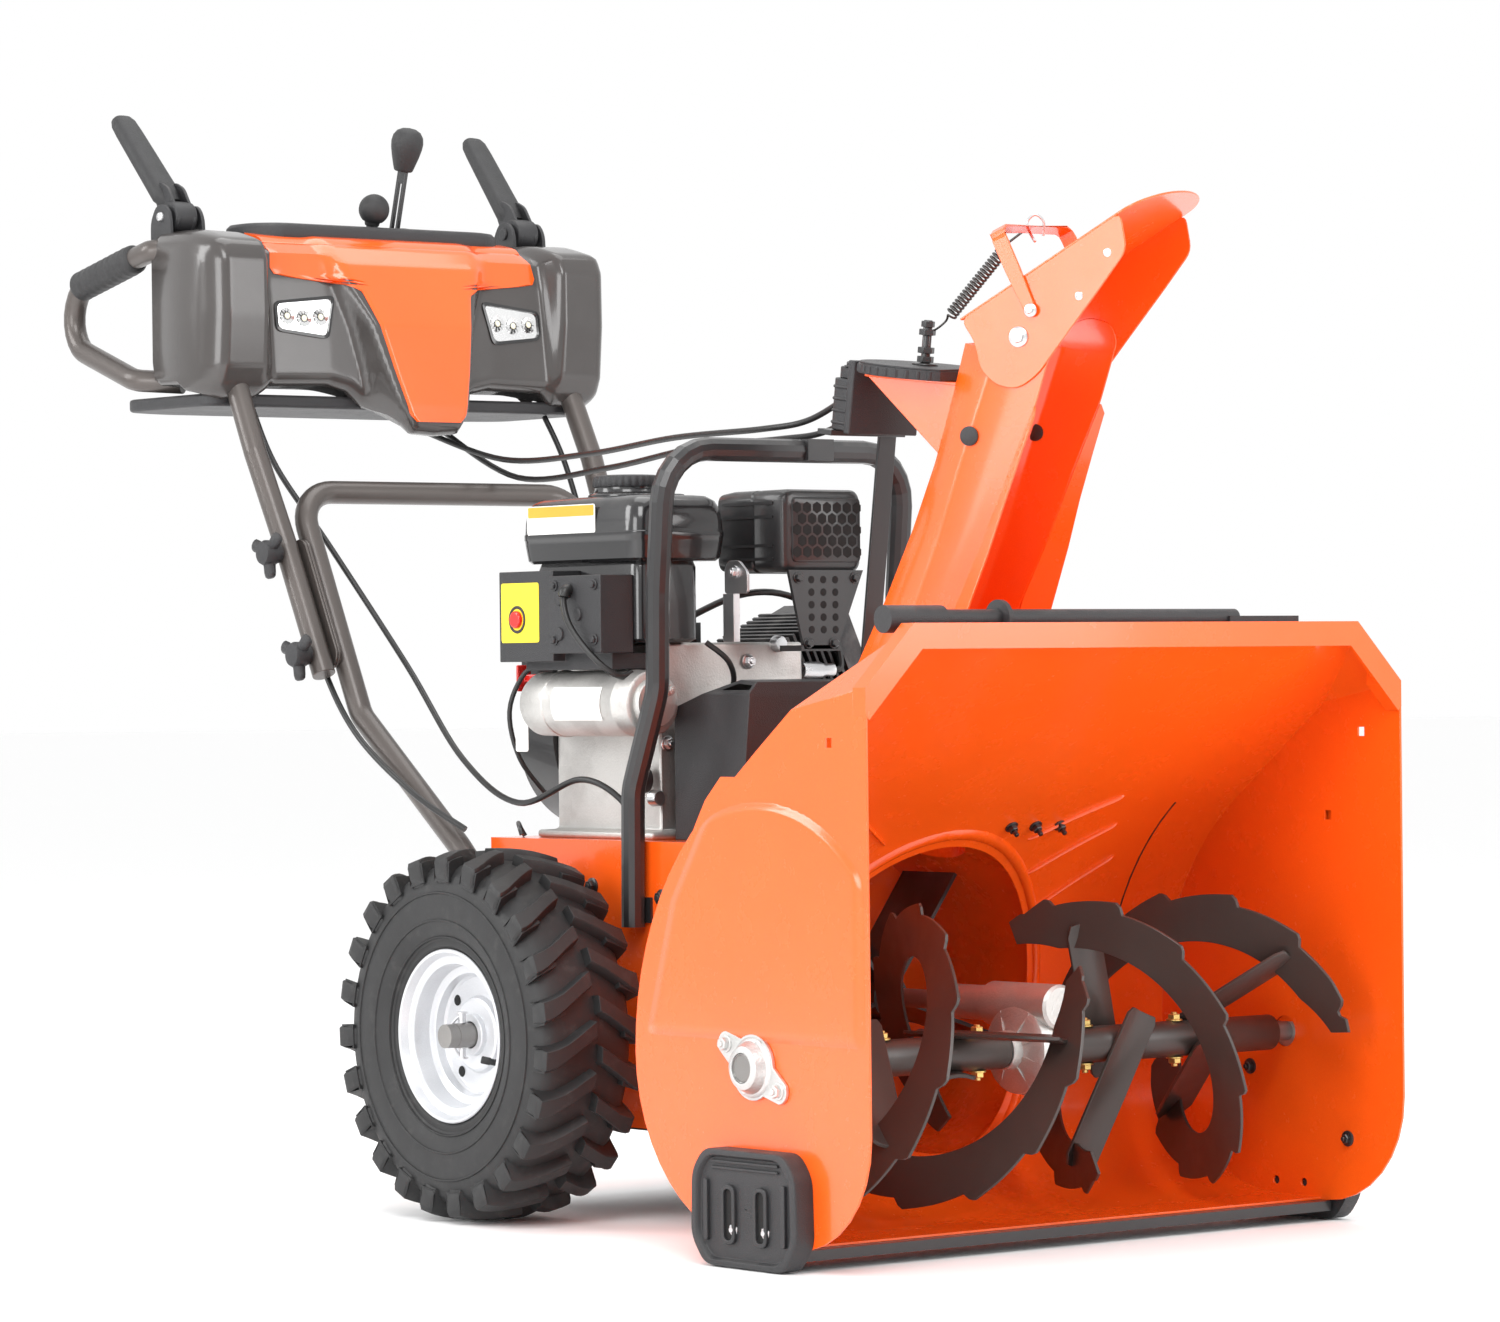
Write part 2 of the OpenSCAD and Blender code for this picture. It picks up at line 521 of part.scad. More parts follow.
module recoil_grip() color([0.1, 0.1, 0.1]) place() translate([60, 150, crank_z + 96]) {
    translate([0, 0.5, 0]) rotate([-90, 0, 0]) cylinder(r = 12, h = 8);
    translate([-28, 8.5, -8]) cube([56, 16, 16]);
}
tank = [[-152, -124, block_top + 84], [-30, 84, block_top + 152]];
module fuel_tank() color([0.07, 0.07, 0.08]) place() difference() {
    union() {
        box(tank[0], tank[1]);
        translate([-88, -24, tank[1].z - eps]) cylinder(r = 34, h = 10);
        box([-140, -110, block_top], [-60, 70, tank[0].z]);
        box([-60, -110, tank[0].z - 30], [10, 40, tank[1].z - 8]);
    }
    box(tank[0] + [4, 4, 4], tank[1] - [4, 4, 4]);
    translate([-88, -24, tank[1].z - 20]) cylinder(r = 24, h = 40);
    box([-134, -104, block_top - 1], [-66, 64, tank[0].z - 6]);
}
module fuel_cap() color([0.05, 0.05, 0.05]) place() translate([-88, -24, tank[1].z + 10 + gap]) {
    cylinder(r = 37, h = 13);
    translate([0, 0, -24]) cylinder(r = 23, h = 24);
    for (k = [0 : 7]) rotate([0, 0, 45 * k]) translate([30, -4, 13 - eps]) cube([7, 8, 3]);
}
module muffler() color([0.08, 0.08, 0.08]) place() difference() {
    union() {
        box([18, -150, block_top + 72], [124, -36, block_top + 158]);
        translate([60, -36, block_top + 100]) rotate([-90, 0, 0]) cylinder(r = 16, h = 40);
        translate([44, -6, block_top]) cube([32, 12, 116]);
        difference() {
            translate([0, -152, 0]) rotate([90, 0, 0]) translate([0, 0, -4]) linear_extrude(4)
                polygon([[20, block_top + 76], [120, block_top + 76], [84, block_top - 8], [40, block_top - 8]]);
            for (r = [0 : 4], c = [-1 : 1]) translate([66 + 16 * c, -160, block_top + 8 + 14 * r])
                rotate([-90, 0, 0]) cylinder(r = 4, h = 20);
        }
    }
    box([23, -145, block_top + 77], [119, -41, block_top + 153]);
}
starter_c = [-134, crank_z + 35];
module electric_starter() color("silver") place() {
    along_y(starter_c.x, -124, starter_c.y) cylinder(r = 34, h = 190);
    along_y(starter_c.x, -132, starter_c.y) cylinder(r = 26, h = 8);
    box([-100.5, -60, starter_c.y - 26], [-95, 40, starter_c.y + 26]);
    along_y(starter_c.x + 12, 66, starter_c.y - 6) cylinder(r = 24, h = 24);
}
module switch_box() color([0.06, 0.06, 0.06]) place() difference() {
    union() {
        box([-182, -100, starter_c.y + 52], [-140, -12, starter_c.y + 132]);
        box([-176, -10, starter_c.y + 44], [-140, 84, starter_c.y + 138]);
        box([-160, -90, starter_c.y + 35], [-100, 60, starter_c.y + 52]);
    }
    along_x(-177, 52, starter_c.y + 88) cylinder(r = 9.2, h = 16);
}
module start_button() color("red") place() {
    along_x(-181, 52, starter_c.y + 88) cylinder(r = 9, h = 8);
    along_x(-173, 52, starter_c.y + 88) cylinder(r = 5, h = 6);
}
module ignition_key() color("red") place() {
    translate([-116, 102, crank_z + 58]) cube([3, 22, 8]);
    translate([-124, 124, crank_z + 48]) cube([18, 4, 28]);
}
module choke_knob() color([0.1, 0.1, 0.1]) place() {
    translate([-76, 150.5, crank_z + 102]) rotate([-90, 0, 0]) cylinder(r = 13, h = 12);
    translate([-88, 162, crank_z + 99]) cube([24, 8, 6]);
}
module dipstick() color([0.1, 0.1, 0.1]) place() translate([-104, -70, frame_top + 62]) {
    rotate([0, -90, 0]) cylinder(r = 14, h = 10);
    translate([-16, -4, -12]) cube([6.1, 8, 24]);
}
module belt_cover() color([0.12, 0.12, 0.13]) place() difference() {
    translate([-98, 0, 0]) rotate([90, 0, 90]) linear_extrude(216)
        polygon([[drum_rear + 5, frame_top], [drum_rear - 12, crank_z + 40], [drum_rear - 10, crank_z + 56],
            [drum_rear + 20, crank_z + 58], [-112, crank_z + 30], [-112, frame_top]]);
    translate([-94, 0, 0]) rotate([90, 0, 90]) linear_extrude(208)
        polygon([[drum_rear + 9, frame_top - 1], [drum_rear - 8, crank_z + 38], [drum_rear - 6, crank_z + 52],
            [drum_rear + 18, crank_z + 54], [-116, crank_z + 27], [-116, frame_top - 1]]);
    along_y(0, -130, crank_z) cylinder(r = 52, h = 40);
    for (x = [-98, 118]) translate([x, -400, crank_z + 44]) rotate([0, x < 0 ? -45 : 45, 0]) translate([-30, 0, 0]) cube([60, 500, 60]);
}

// ---- guard hoop and handles ----
hoop_x = frame_x + tube_r + gap;
hoop_line = [[-hoop_x, -118, 300], [-hoop_x, -120, 440], [-hoop_x, -163, 542], [-hoop_x, -165, 640],
    [-hoop_x, -178, 786], [hoop_x, -178, 786], [hoop_x, -165, 640], [hoop_x, -163, 542],
    [hoop_x, -120, 440], [hoop_x, -118, 300]];
module hoop_guard() color([0.07, 0.07, 0.07]) place() {
    sweep(bent(hoop_line, 55, 6), handle_tube_d - 1);
    both_sides() box([frame_x, -134, 304], [frame_x + 3, -102, 330]);
    translate([18, -193, 776]) cube([34, 30, 22]);
}
handle_line = [[-frame_x - tube_r - gap, 96, 296], [-frame_x - tube_r - gap - 8, 176, 378], [-lower_x, 321, 517],
    [-lower_x, 440, 762], [lower_x, 440, 762], [lower_x, 321, 517], [frame_x + tube_r + gap + 8, 176, 378],
    [frame_x + tube_r + gap, 96, 296]];
// The flat plate between the fold bolt and the latch bolt, x to x + t.
module latch_plate(x, t) {
    a = [fold_y, fold_z];
    b = [latch_y, latch_z];
    turn = atan2(b.y - a.y, b.x - a.x);
    translate([x, 0, 0]) rotate([90, 0, 90]) linear_extrude(t)
        polygon(concat(arc(b, 15, turn - 90, turn + 90, 12), arc(a, 15, turn + 90, turn + 270, 12)));
}
// The weld between a tube and its plate, halfway between the two bolts.
module plate_block(x, t) {
    slope = atan2(latch_y - fold_y, latch_z - fold_z);
    translate([x, (fold_y + latch_y) / 2, (fold_z + latch_z) / 2]) rotate([-slope, 0, 0]) translate([0, -3, -14])
        cube([t, 6, 28]);
}
module lower_handle() color([0.3, 0.28, 0.27]) place() {
    bent_tube(handle_line, 45, handle_tube_d, handle_wall);
    both_sides() box([frame_x + gap / 2, 106, 306], [frame_x + gap + 1.5, 118, 322]);
    both_sides() difference() {
        latch_plate(lug_x + 0.5, lug_t - 0.5);
        along_x(lug_x - 4, fold_y, fold_z) cylinder(r = 4 + run_fit, h = 20);
        translate([lug_x - 5, latch_y, latch_z]) rotate([-30, 0, 0]) translate([0, 0, -4.6]) cube([20, 40, 9.2]);
        along_x(lug_x - 5, latch_y, latch_z) cylinder(r = 4.6, h = 20);
    }
    both_sides() plate_block(lower_x + tube_r - 1.4, 4);
}
grip_x = 270;
plate_x = lug_x + lug_t + gap;
upper_line = [[plate_x + 4 + tube_r, 342, 561], [plate_x + 4 + tube_r, latch_y + 4, 700], [upper_x, 462, 806],
    [upper_x - 2, 506, 892], [upper_x - 6, 540, 950]];
module upper_handle() color([0.3, 0.28, 0.27]) place() both_sides() {
    bent_tube(upper_line, 40, handle_tube_d, handle_wall);
    difference() {
        latch_plate(plate_x, 3);
        along_x(plate_x - 4, fold_y, fold_z) cylinder(r = 4 + run_fit, h = 20);
        along_x(plate_x - 4, latch_y, latch_z) cylinder(r = 4 + run_fit, h = 20);
    }
    plate_block(plate_x + 1, 4.4);
}
module star_knob(y, z) {
    x = plate_x + 4 + handle_tube_d;
    along_x(lug_x + 0.4, y, z) cylinder(r = 4, h = x - lug_x + 4);
    along_x(x + 1, y, z) {
        cylinder(r = 13, h = 22);
        for (k = [0 : 2]) rotate([0, 0, 120 * k + 20]) translate([9, -6, 7]) cube([18, 12, 13]);
    }
}
module handle_knobs() color([0.08, 0.08, 0.08]) place() both_sides() difference() {
    union() {
        star_knob(fold_y, fold_z);
        star_knob(latch_y, latch_z);
    }
}
module shoulder() hull() {
    for (p = [[252, 478, 1030], [252, 600, 1035], [150, 480, 1040], [150, 610, 1045], [262, 500, 900],
        [262, 604, 905], [160, 470, 880], [160, 604, 890]]) translate(p) sphere(r = 16, $fn = 14);
}
module console() color([0.24, 0.22, 0.22]) place() difference() {
    union() {
        both_sides() shoulder();
        hull() for (p = [[-150, 480, 1040], [150, 480, 1040], [-150, 610, 1045], [150, 610, 1045], [-60, 452, 850],
            [60, 452, 850], [-140, 580, 880], [140, 580, 880]]) translate(p) sphere(r = 14, $fn = 14);
        hull() for (p = [[-110, 545, 1046], [110, 545, 1046], [-120, 620, 1050], [120, 620, 1050], [-110, 545, 1040],
            [110, 545, 1040]]) translate(p) sphere(r = 12, $fn = 14);
        box([-200, 500, 862], [200, 640, 878]);
    }
    both_sides() translate([100, 420, 955]) rotate([-12, 0, -14]) cube([86, 60, 44]);
    box([-90, 440, 1000], [90, 466, 1056]);
    both_sides() box([24, 502, 830], [204, 592, 1022]);
    both_sides() box([212, 520, 850], [246, 592, 1012]);
    box([-20, 486, 870], [20, 588, 1000]);
    both_sides() translate([upper_x - 4, 522, 900]) rotate([-26, 0, 0]) translate([0, 0, -60]) cylinder(r = tube_r + 0.6, h = 116);
    for (x = [0, 40]) translate([x - 14, 530, 1016]) cube([28, 88, 70]);
}
module console_panel() color("orangered") place() hull()
    for (p = [[-86, 448, 1004], [86, 448, 1004], [-86, 456, 1048], [86, 456, 1048]]) translate(p) sphere(r = 5, $fn = 14);
module headlights() color([0.9, 0.92, 0.95]) place() both_sides()
    translate([100, 420, 955]) rotate([-12, 0, -14]) translate([3, 32, 3]) cube([80, 26, 38]);
loop_line = [[grip_x, 600, 1036], [grip_x, rear_end - tube_r + 25, 992], [grip_x, rear_end - 60, 930],
    [grip_x, 642, 892], [grip_x - 30, 600, 888]];
module loop_handles() color([0.2, 0.19, 0.19]) place() both_sides() {
    sweep(bent(loop_line, 32, 6), handle_tube_d);
    rod([grip_x, 640, 1028.4], [grip_x, 760, 1005.6], 34);
}
lever_p = [235, 603, 1072];
lever_tip = [243, 712, 1192];
module lever_bracket(m) mirror([m, 0, 0]) {
    difference() {
        union() {
            translate([lever_p.x - 24, 585, 1046]) cube([6, 36, 44]);
            translate([lever_p.x + 18, 585, 1046]) cube([6, 36, 44]);
            translate([lever_p.x - 24, 580, 1042]) cube([48, 46, 8]);
        }
        along_x(lever_p.x - 40, lever_p.y, lever_p.z) cylinder(r = 5 + run_fit, h = 80);
    }
}
module hand_lever() {
    along_x(lever_p.x - 26, lever_p.y, lever_p.z) cylinder(r = 5, h = 52);
    difference() {
        hull() {
            along_x(lever_p.x - 16, lever_p.y, lever_p.z) cylinder(r = 15, h = 32, $fn = 32);
            translate(lever_p + [-12, 18, 26]) rotate([-41, 0, 0]) translate([0, -8, 0]) cube([28, 18, 4]);
        }
    }
    hull() {
        translate(lever_p + [-12, 17, 24]) rotate([-41, 0, 0]) translate([0, -8, 0]) cube([28, 20, 4]);
        translate(lever_tip - [14, 0, 0]) rotate([-41, 0, 0]) translate([0, -8, -8]) cube([28, 15, 8]);
    }
}
module drive_lever() color([0.1, 0.1, 0.1]) place() hand_lever();
module auger_lever() color([0.1, 0.1, 0.1]) place() mirror([1, 0, 0]) hand_lever();
module stick(x, y, l, knob) {
    along_x(x - 12, y, 1030) cylinder(r = 5, h = 24);
    translate([x, y, 1030]) rotate([16, 0, 0]) {
        translate([-2, -8, 0]) cube([4, 16, l]);
        translate([0, 0, l]) children();
    }
}
module speed_lever() color([0.12, 0.12, 0.12]) place() stick(0, 578, 60) sphere(r = 17, $fn = 24);
module chute_lever() color([0.12, 0.12, 0.12]) place() stick(40, 590, 110) {
    cylinder(r1 = 9, r2 = 19, h = 28);
    translate([0, 0, 28]) cylinder(r1 = 19, r2 = 8, h = 22);
}

// ---- chute, drawn upright along its own turning axis ----
// Back, bevel and front edges of the channel at each height: [height, back, bevel, front].
chute_rings = [[40, -78, -38, 52], [100, -60, -14, 62], [170, -30, 18, 76], [240, -4, 46, 91], [310, 19, 66, 116],
    [380, 38, 82, 137], [450, 52, 100, 160], [532, 66, 118, 176]];
function chute_section(r, i) = let (t = chute_t * i, w = chute_half - t, b = 38 - t * 0.5)
    [[-w, -r[3]], [-w, -r[2] - t * 0.5], [-b, -r[1] - t], [b, -r[1] - t], [w, -r[2] - t * 0.5], [w, -r[3]]];
module chute_channel() {
    n = len(chute_rings) - 1;
    pts = [for (r = chute_rings) for (p = concat(chute_section(r, 0),
        [for (k = [5 : -1 : 0]) chute_section(r, 1)[k]])) [p.x, p.y, r[0]]];
    polyhedron(pts, concat([[for (k = [11 : -1 : 0]) k]],
        [for (i = [0 : n - 1], k = [0 : 11]) let (m = (k + 1) % 12) [12 * i + k, 12 * i + m, 12 * i + 12 + m, 12 * i + 12 + k]],
        [[for (k = [0 : 11]) 12 * n + k]]), convexity = 8);
}
module chute() color("orangered") place() chute_frame() difference() {
    union() {
        chute_channel();
        translate([0, 0, 34.6]) difference() {
            cylinder(r = 98, h = 6);
            translate([0, 0, -1]) cylinder(r = 72, h = 8);
        }
        for (x = [-33, 31]) side_plate(x, 2, [[-48, 459], [56, 459], [41, 385]]);
        translate([-35, -55.5, 457]) cube([70, 105.5, 3]);
    }
    translate([-100, -126, 502]) cube([200, 126, 60]);
    translate([-100, -hood_s, hood_h]) rotate([0, 90, 0]) cylinder(r = 6 + run_fit, h = 200);
}
hood_out = chute_half + gap;
hood_pts = [[73, 524], [92, 503], [98, 478], [116, 464], [140, 462], [160, 478], [182, 512], [217, 565], [240, 606],
    [233, 642]];
hood_slope = atan2(642 - 524, 233 - 73);
module deflector() color("orangered") place() chute_frame() {
    side_plate(-hood_out - 2, 2, hood_pts);
    side_plate(hood_out, 2, hood_pts);
    translate([0, -73.6, 523]) rotate([-hood_slope, 0, 0]) linear_extrude(2.4)
        polygon(concat([[-hood_out - 2.4, 0], [-hood_out - 2.4, -198]],
            [for (k = [1 : 7]) [-(hood_out + 2.4) * cos(22.5 * k), -198 - 40 * sin(22.5 * k)]],
            [[hood_out + 2.4, -198], [hood_out + 2.4, 0]]));
    for (s = [-1, 1]) translate([s > 0 ? chute_half - chute_t - 3 : -hood_out - 8, -hood_s, hood_h])
        rotate([0, 90, 0]) cylinder(r = 6, h = hood_out + 8 - chute_half + chute_t + 3);
    for (x = [hood_out + 1, -hood_out - 4.6]) side_plate(x, 3.6, [[156, 542], [143, 533], [97, 612], [110, 620]]);
    side_plate(-hood_out - 4, 2 * hood_out + 8, [[99, 609.7], [111, 617.1], [109.1, 620.4], [97.1, 613]]);
}
module deflector_spring() color("dimgray") place() chute_frame()
    rod([0, -22, 522], [0, -80, 598], 14);
module rotator_disc() color([0.08, 0.08, 0.08]) place() chute_frame() {
    difference() {
        translate([0, 0, 460]) cylinder(r = 66, h = 12);
        translate([-80, -140, 450]) cube([160, 94, 40]);
    }
    translate([0, 0, 472 - eps]) cylinder(r = 5, h = 42);
    translate([0, 0, 472 - eps]) cylinder(r = 12, h = 4);
    translate([0, 0, 480]) cylinder(r = 8, h = 7, $fn = 6);
    translate([0, 0, 498]) cylinder(r = 8, h = 7, $fn = 6);
}
module rotator_bracket() color([0.08, 0.08, 0.08]) place() translate(chute_base) rotate([chute_lean, 0, 0]) {
    translate([-34, 68, 398]) cube([80, 40, 70]);
    translate([36, 104, -4]) cube([22, 4, 402]);
    translate([30, 98, -10]) cube([34, 14, 8]);
}
tool_y = -678;
tool_z = 606;
module cleanout_tool() color([0.2, 0.2, 0.21]) place() {
    along_x(-284, tool_y, tool_z) cylinder(r = 9, h = 440);
    along_x(-290, tool_y, tool_z) cylinder(r = 13, h = 70);
    along_x(-150, tool_y, tool_z) cylinder(r = 18, h = 5);
    box([140, tool_y - 12, tool_z - 4], [232, tool_y + 60, tool_z + 2]);
}

// ---- control cables, held along the handles and frame ----
cable_d = 7;
cable_lines = [
    [[-206, 520, 856], [-210, 486, 800], [-207, 432, 694], [-207, 377, 583], [-207, 310, 500], [-202, 212, 436],
        [-176, 150, 396]],
    [[-192, 524, 856], [-186, 486, 790], [-160, 420, 700], [-130, 320, 570], [-150, 190, 470], [-172, 60, 425],
        [-166, -40, 450], [-156, -96, 430], [-150, -106, 400]],
    [[206, 520, 856], [210, 486, 800], [207, 432, 694], [207, 377, 583], [207, 310, 500], [202, 212, 436],
        [176, 150, 396]],
    [[30, 520, 838], [60, 400, 800], [60, 240, 800], [40, 60, 810], [30, -100, 812], [36, -170, 818], [30, -240, 838],
        [10, -268, 842], [0, -278, 846]],
    [[60, 520, 838], [80, 400, 780], [86, 240, 785], [70, 60, 800], [54, -100, 802], [56, -170, 806], [50, -240, 824],
        [34, -268, 830], [24, -278, 832]]];
module control_cables() color([0.06, 0.06, 0.06]) place() for (c = cable_lines) sweep(spline(c, 2), cable_d, 8);

auger_housing();
housing_lip();
impeller_housing();
scraper_bar();
shaft_bearings();
skid_left();
skid_right();
skid_bolts();
auger_left();
auger_right();
auger_shaft();
shear_bolts();
gearbox();
impeller();
impeller_shaft();
engine_pulley();
auger_belt();
frame_case();
bottom_cover();
axle();
rim_left();
rim_right();
tyre_left();
tyre_right();
wheel_pins();
friction_wheel();
drive_disc();
engine_block();
engine_cylinder();
blower_housing();
recoil_grip();
fuel_tank();
fuel_cap();
muffler();
electric_starter();
switch_box();
start_button();
ignition_key();
choke_knob();
dipstick();
belt_cover();
hoop_guard();
lower_handle();
upper_handle();
handle_knobs();
console();
console_panel();
headlights();
loop_handles();
drive_lever();
auger_lever();
speed_lever();
chute_lever();
chute();
deflector();
deflector_spring();
rotator_disc();
rotator_bracket();
cleanout_tool();
control_cables();
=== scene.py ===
import json
from math import acos, atan2, copysign, cos, degrees, hypot, pi, radians, sin, sqrt, tan

import bmesh
import bpy
import numpy as np
from mathutils import Matrix, Vector


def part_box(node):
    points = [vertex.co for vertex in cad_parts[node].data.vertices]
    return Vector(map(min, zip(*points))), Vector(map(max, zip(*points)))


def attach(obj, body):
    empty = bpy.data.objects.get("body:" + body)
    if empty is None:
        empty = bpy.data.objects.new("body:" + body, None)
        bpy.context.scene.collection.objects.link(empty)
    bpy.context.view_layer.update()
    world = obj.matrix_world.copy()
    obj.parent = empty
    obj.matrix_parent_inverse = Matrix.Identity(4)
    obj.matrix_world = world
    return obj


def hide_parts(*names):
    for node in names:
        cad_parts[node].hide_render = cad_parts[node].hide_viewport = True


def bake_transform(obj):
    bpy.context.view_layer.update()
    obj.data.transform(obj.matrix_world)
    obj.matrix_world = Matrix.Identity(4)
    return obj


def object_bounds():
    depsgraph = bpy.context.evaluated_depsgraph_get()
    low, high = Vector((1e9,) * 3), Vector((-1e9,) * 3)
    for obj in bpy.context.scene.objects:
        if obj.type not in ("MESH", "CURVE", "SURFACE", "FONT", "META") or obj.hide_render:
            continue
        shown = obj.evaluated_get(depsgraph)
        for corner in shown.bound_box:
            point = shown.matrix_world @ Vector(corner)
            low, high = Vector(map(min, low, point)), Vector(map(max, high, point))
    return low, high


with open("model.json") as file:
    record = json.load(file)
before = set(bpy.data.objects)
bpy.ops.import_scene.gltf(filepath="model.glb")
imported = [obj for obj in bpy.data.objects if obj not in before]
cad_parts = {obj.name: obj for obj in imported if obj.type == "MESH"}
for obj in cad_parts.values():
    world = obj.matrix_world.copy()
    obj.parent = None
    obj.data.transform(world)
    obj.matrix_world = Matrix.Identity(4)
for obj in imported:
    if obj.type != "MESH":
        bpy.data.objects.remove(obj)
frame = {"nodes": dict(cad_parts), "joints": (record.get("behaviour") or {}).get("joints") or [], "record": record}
cad_low, cad_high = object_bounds()
record, nodes = frame["record"], frame["nodes"]
joints = {j["name"]: j for j in frame["joints"]}
body_of = {n: b for b, members in record["behaviour"]["bodies"].items() for n in members}
slot_of = {s["node"]: s["material_slot"] for s in record["subparts"]}
ORIGIN = Vector((0, joints["wheel_spin"]["pos_m"][1], 0))  # ground point under the axle
AXLE_Z = joints["wheel_spin"]["pos_m"][2] * 1000
SIDES = ((1, "left"), (-1, "right"))  # x is positive on the left


def at(x, y, z):
    """A point given in millimetres from the ground under the axle, in the frame's metres."""
    return ORIGIN + Vector((x, y, z)) / 1000


def blend_at(value, low, high):
    """Smooth step from 0 at low to 1 at high."""
    s = min(max((value - low) / (high - low), 0.0), 1.0)
    return s * s * (3 - 2 * s)


# ---- camera ----
def look(azimuth, elevation, roll):
    a, e, r = map(radians, (azimuth, elevation, roll))
    back = Vector((sin(a) * cos(e), -cos(a) * cos(e), sin(e)))
    right = (-back).cross(Vector((0, 0, 1))).normalized()
    up = right.cross(-back)
    return Matrix(
        (
            cos(r) * right + sin(r) * up,
            cos(r) * up - sin(r) * right,
            back,
        )
    ).transposed()


camera = bpy.data.objects.new("camera", bpy.data.cameras.new("camera"))
bpy.context.scene.collection.objects.link(camera)
bpy.context.scene.camera = camera
camera.data.sensor_width = 36
camera.data.lens = 130.24
camera.data.shift_x, camera.data.shift_y = -0.0002, 0.0584
camera.data.clip_start, camera.data.clip_end = 0.1, 60
camera.matrix_world = Matrix.Translation(at(-3506, -4528, 556)) @ look(-38.46, 0.78, -0.65).to_4x4()


# ---- shader maths ----
class Wire:
    """A shader socket that can be added, multiplied and so on."""

    def __init__(self, tree, socket=None):
        self.tree, self.socket = tree, socket

    def node(self, kind, settings=None, inputs=None, output=0):
        made = self.tree.nodes.new(kind)
        for key, value in (settings or {}).items():
            setattr(made, key, value)
        for key, value in (inputs or {}).items():
            if isinstance(value, Wire):
                self.tree.links.new(value.socket, made.inputs[key])
            else:
                made.inputs[key].default_value = value
        return Wire(self.tree, made.outputs[output])

    def math(self, operation, other=None, third=None, clamp=False):
        inputs = {0: self}
        if other is not None:
            inputs[1] = other
        if third is not None:
            inputs[2] = third
        return self.node("ShaderNodeMath", {"operation": operation, "use_clamp": clamp}, inputs)

    def _turned(self, operation, other):
        return self.node("ShaderNodeMath", {"operation": operation}, {0: other, 1: self})

    def __add__(self, other):
        return self.math("ADD", other)

    def __sub__(self, other):
        return self.math("SUBTRACT", other)

    def __mul__(self, other):
        return self.math("MULTIPLY", other)

    def __truediv__(self, other):
        return self.math("DIVIDE", other)

    def __pow__(self, other):
        return self.math("POWER", other)

    def __radd__(self, other):
        return self._turned("ADD", other)

    def __rsub__(self, other):
        return self._turned("SUBTRACT", other)

    def __rmul__(self, other):
        return self._turned("MULTIPLY", other)

    def __rtruediv__(self, other):
        return self._turned("DIVIDE", other)

    def ramp(self, low, high, new_low=0.0, new_high=1.0):
        return self.node(
            "ShaderNodeMapRange",
            {"interpolation_type": "SMOOTHSTEP"},
            {"Value": self, "From Min": low, "From Max": high, "To Min": new_low, "To Max": new_high},
        )

    def mix(self, first, second):
        """The colour first where this is 0, and second where it is 1."""
        made = self.tree.nodes.new("ShaderNodeMix")
        made.data_type = "RGBA"
        for index, value in ((0, self), (6, first), (7, second)):
            if isinstance(value, Wire):
                self.tree.links.new(value.socket, made.inputs[index])
            else:
                made.inputs[index].default_value = value
        return Wire(self.tree, made.outputs[2])


def rgba(colour, factor=1.0):
    return tuple(min(1.0, c * factor) for c in colour[:3]) + (1.0,)


materials = {}


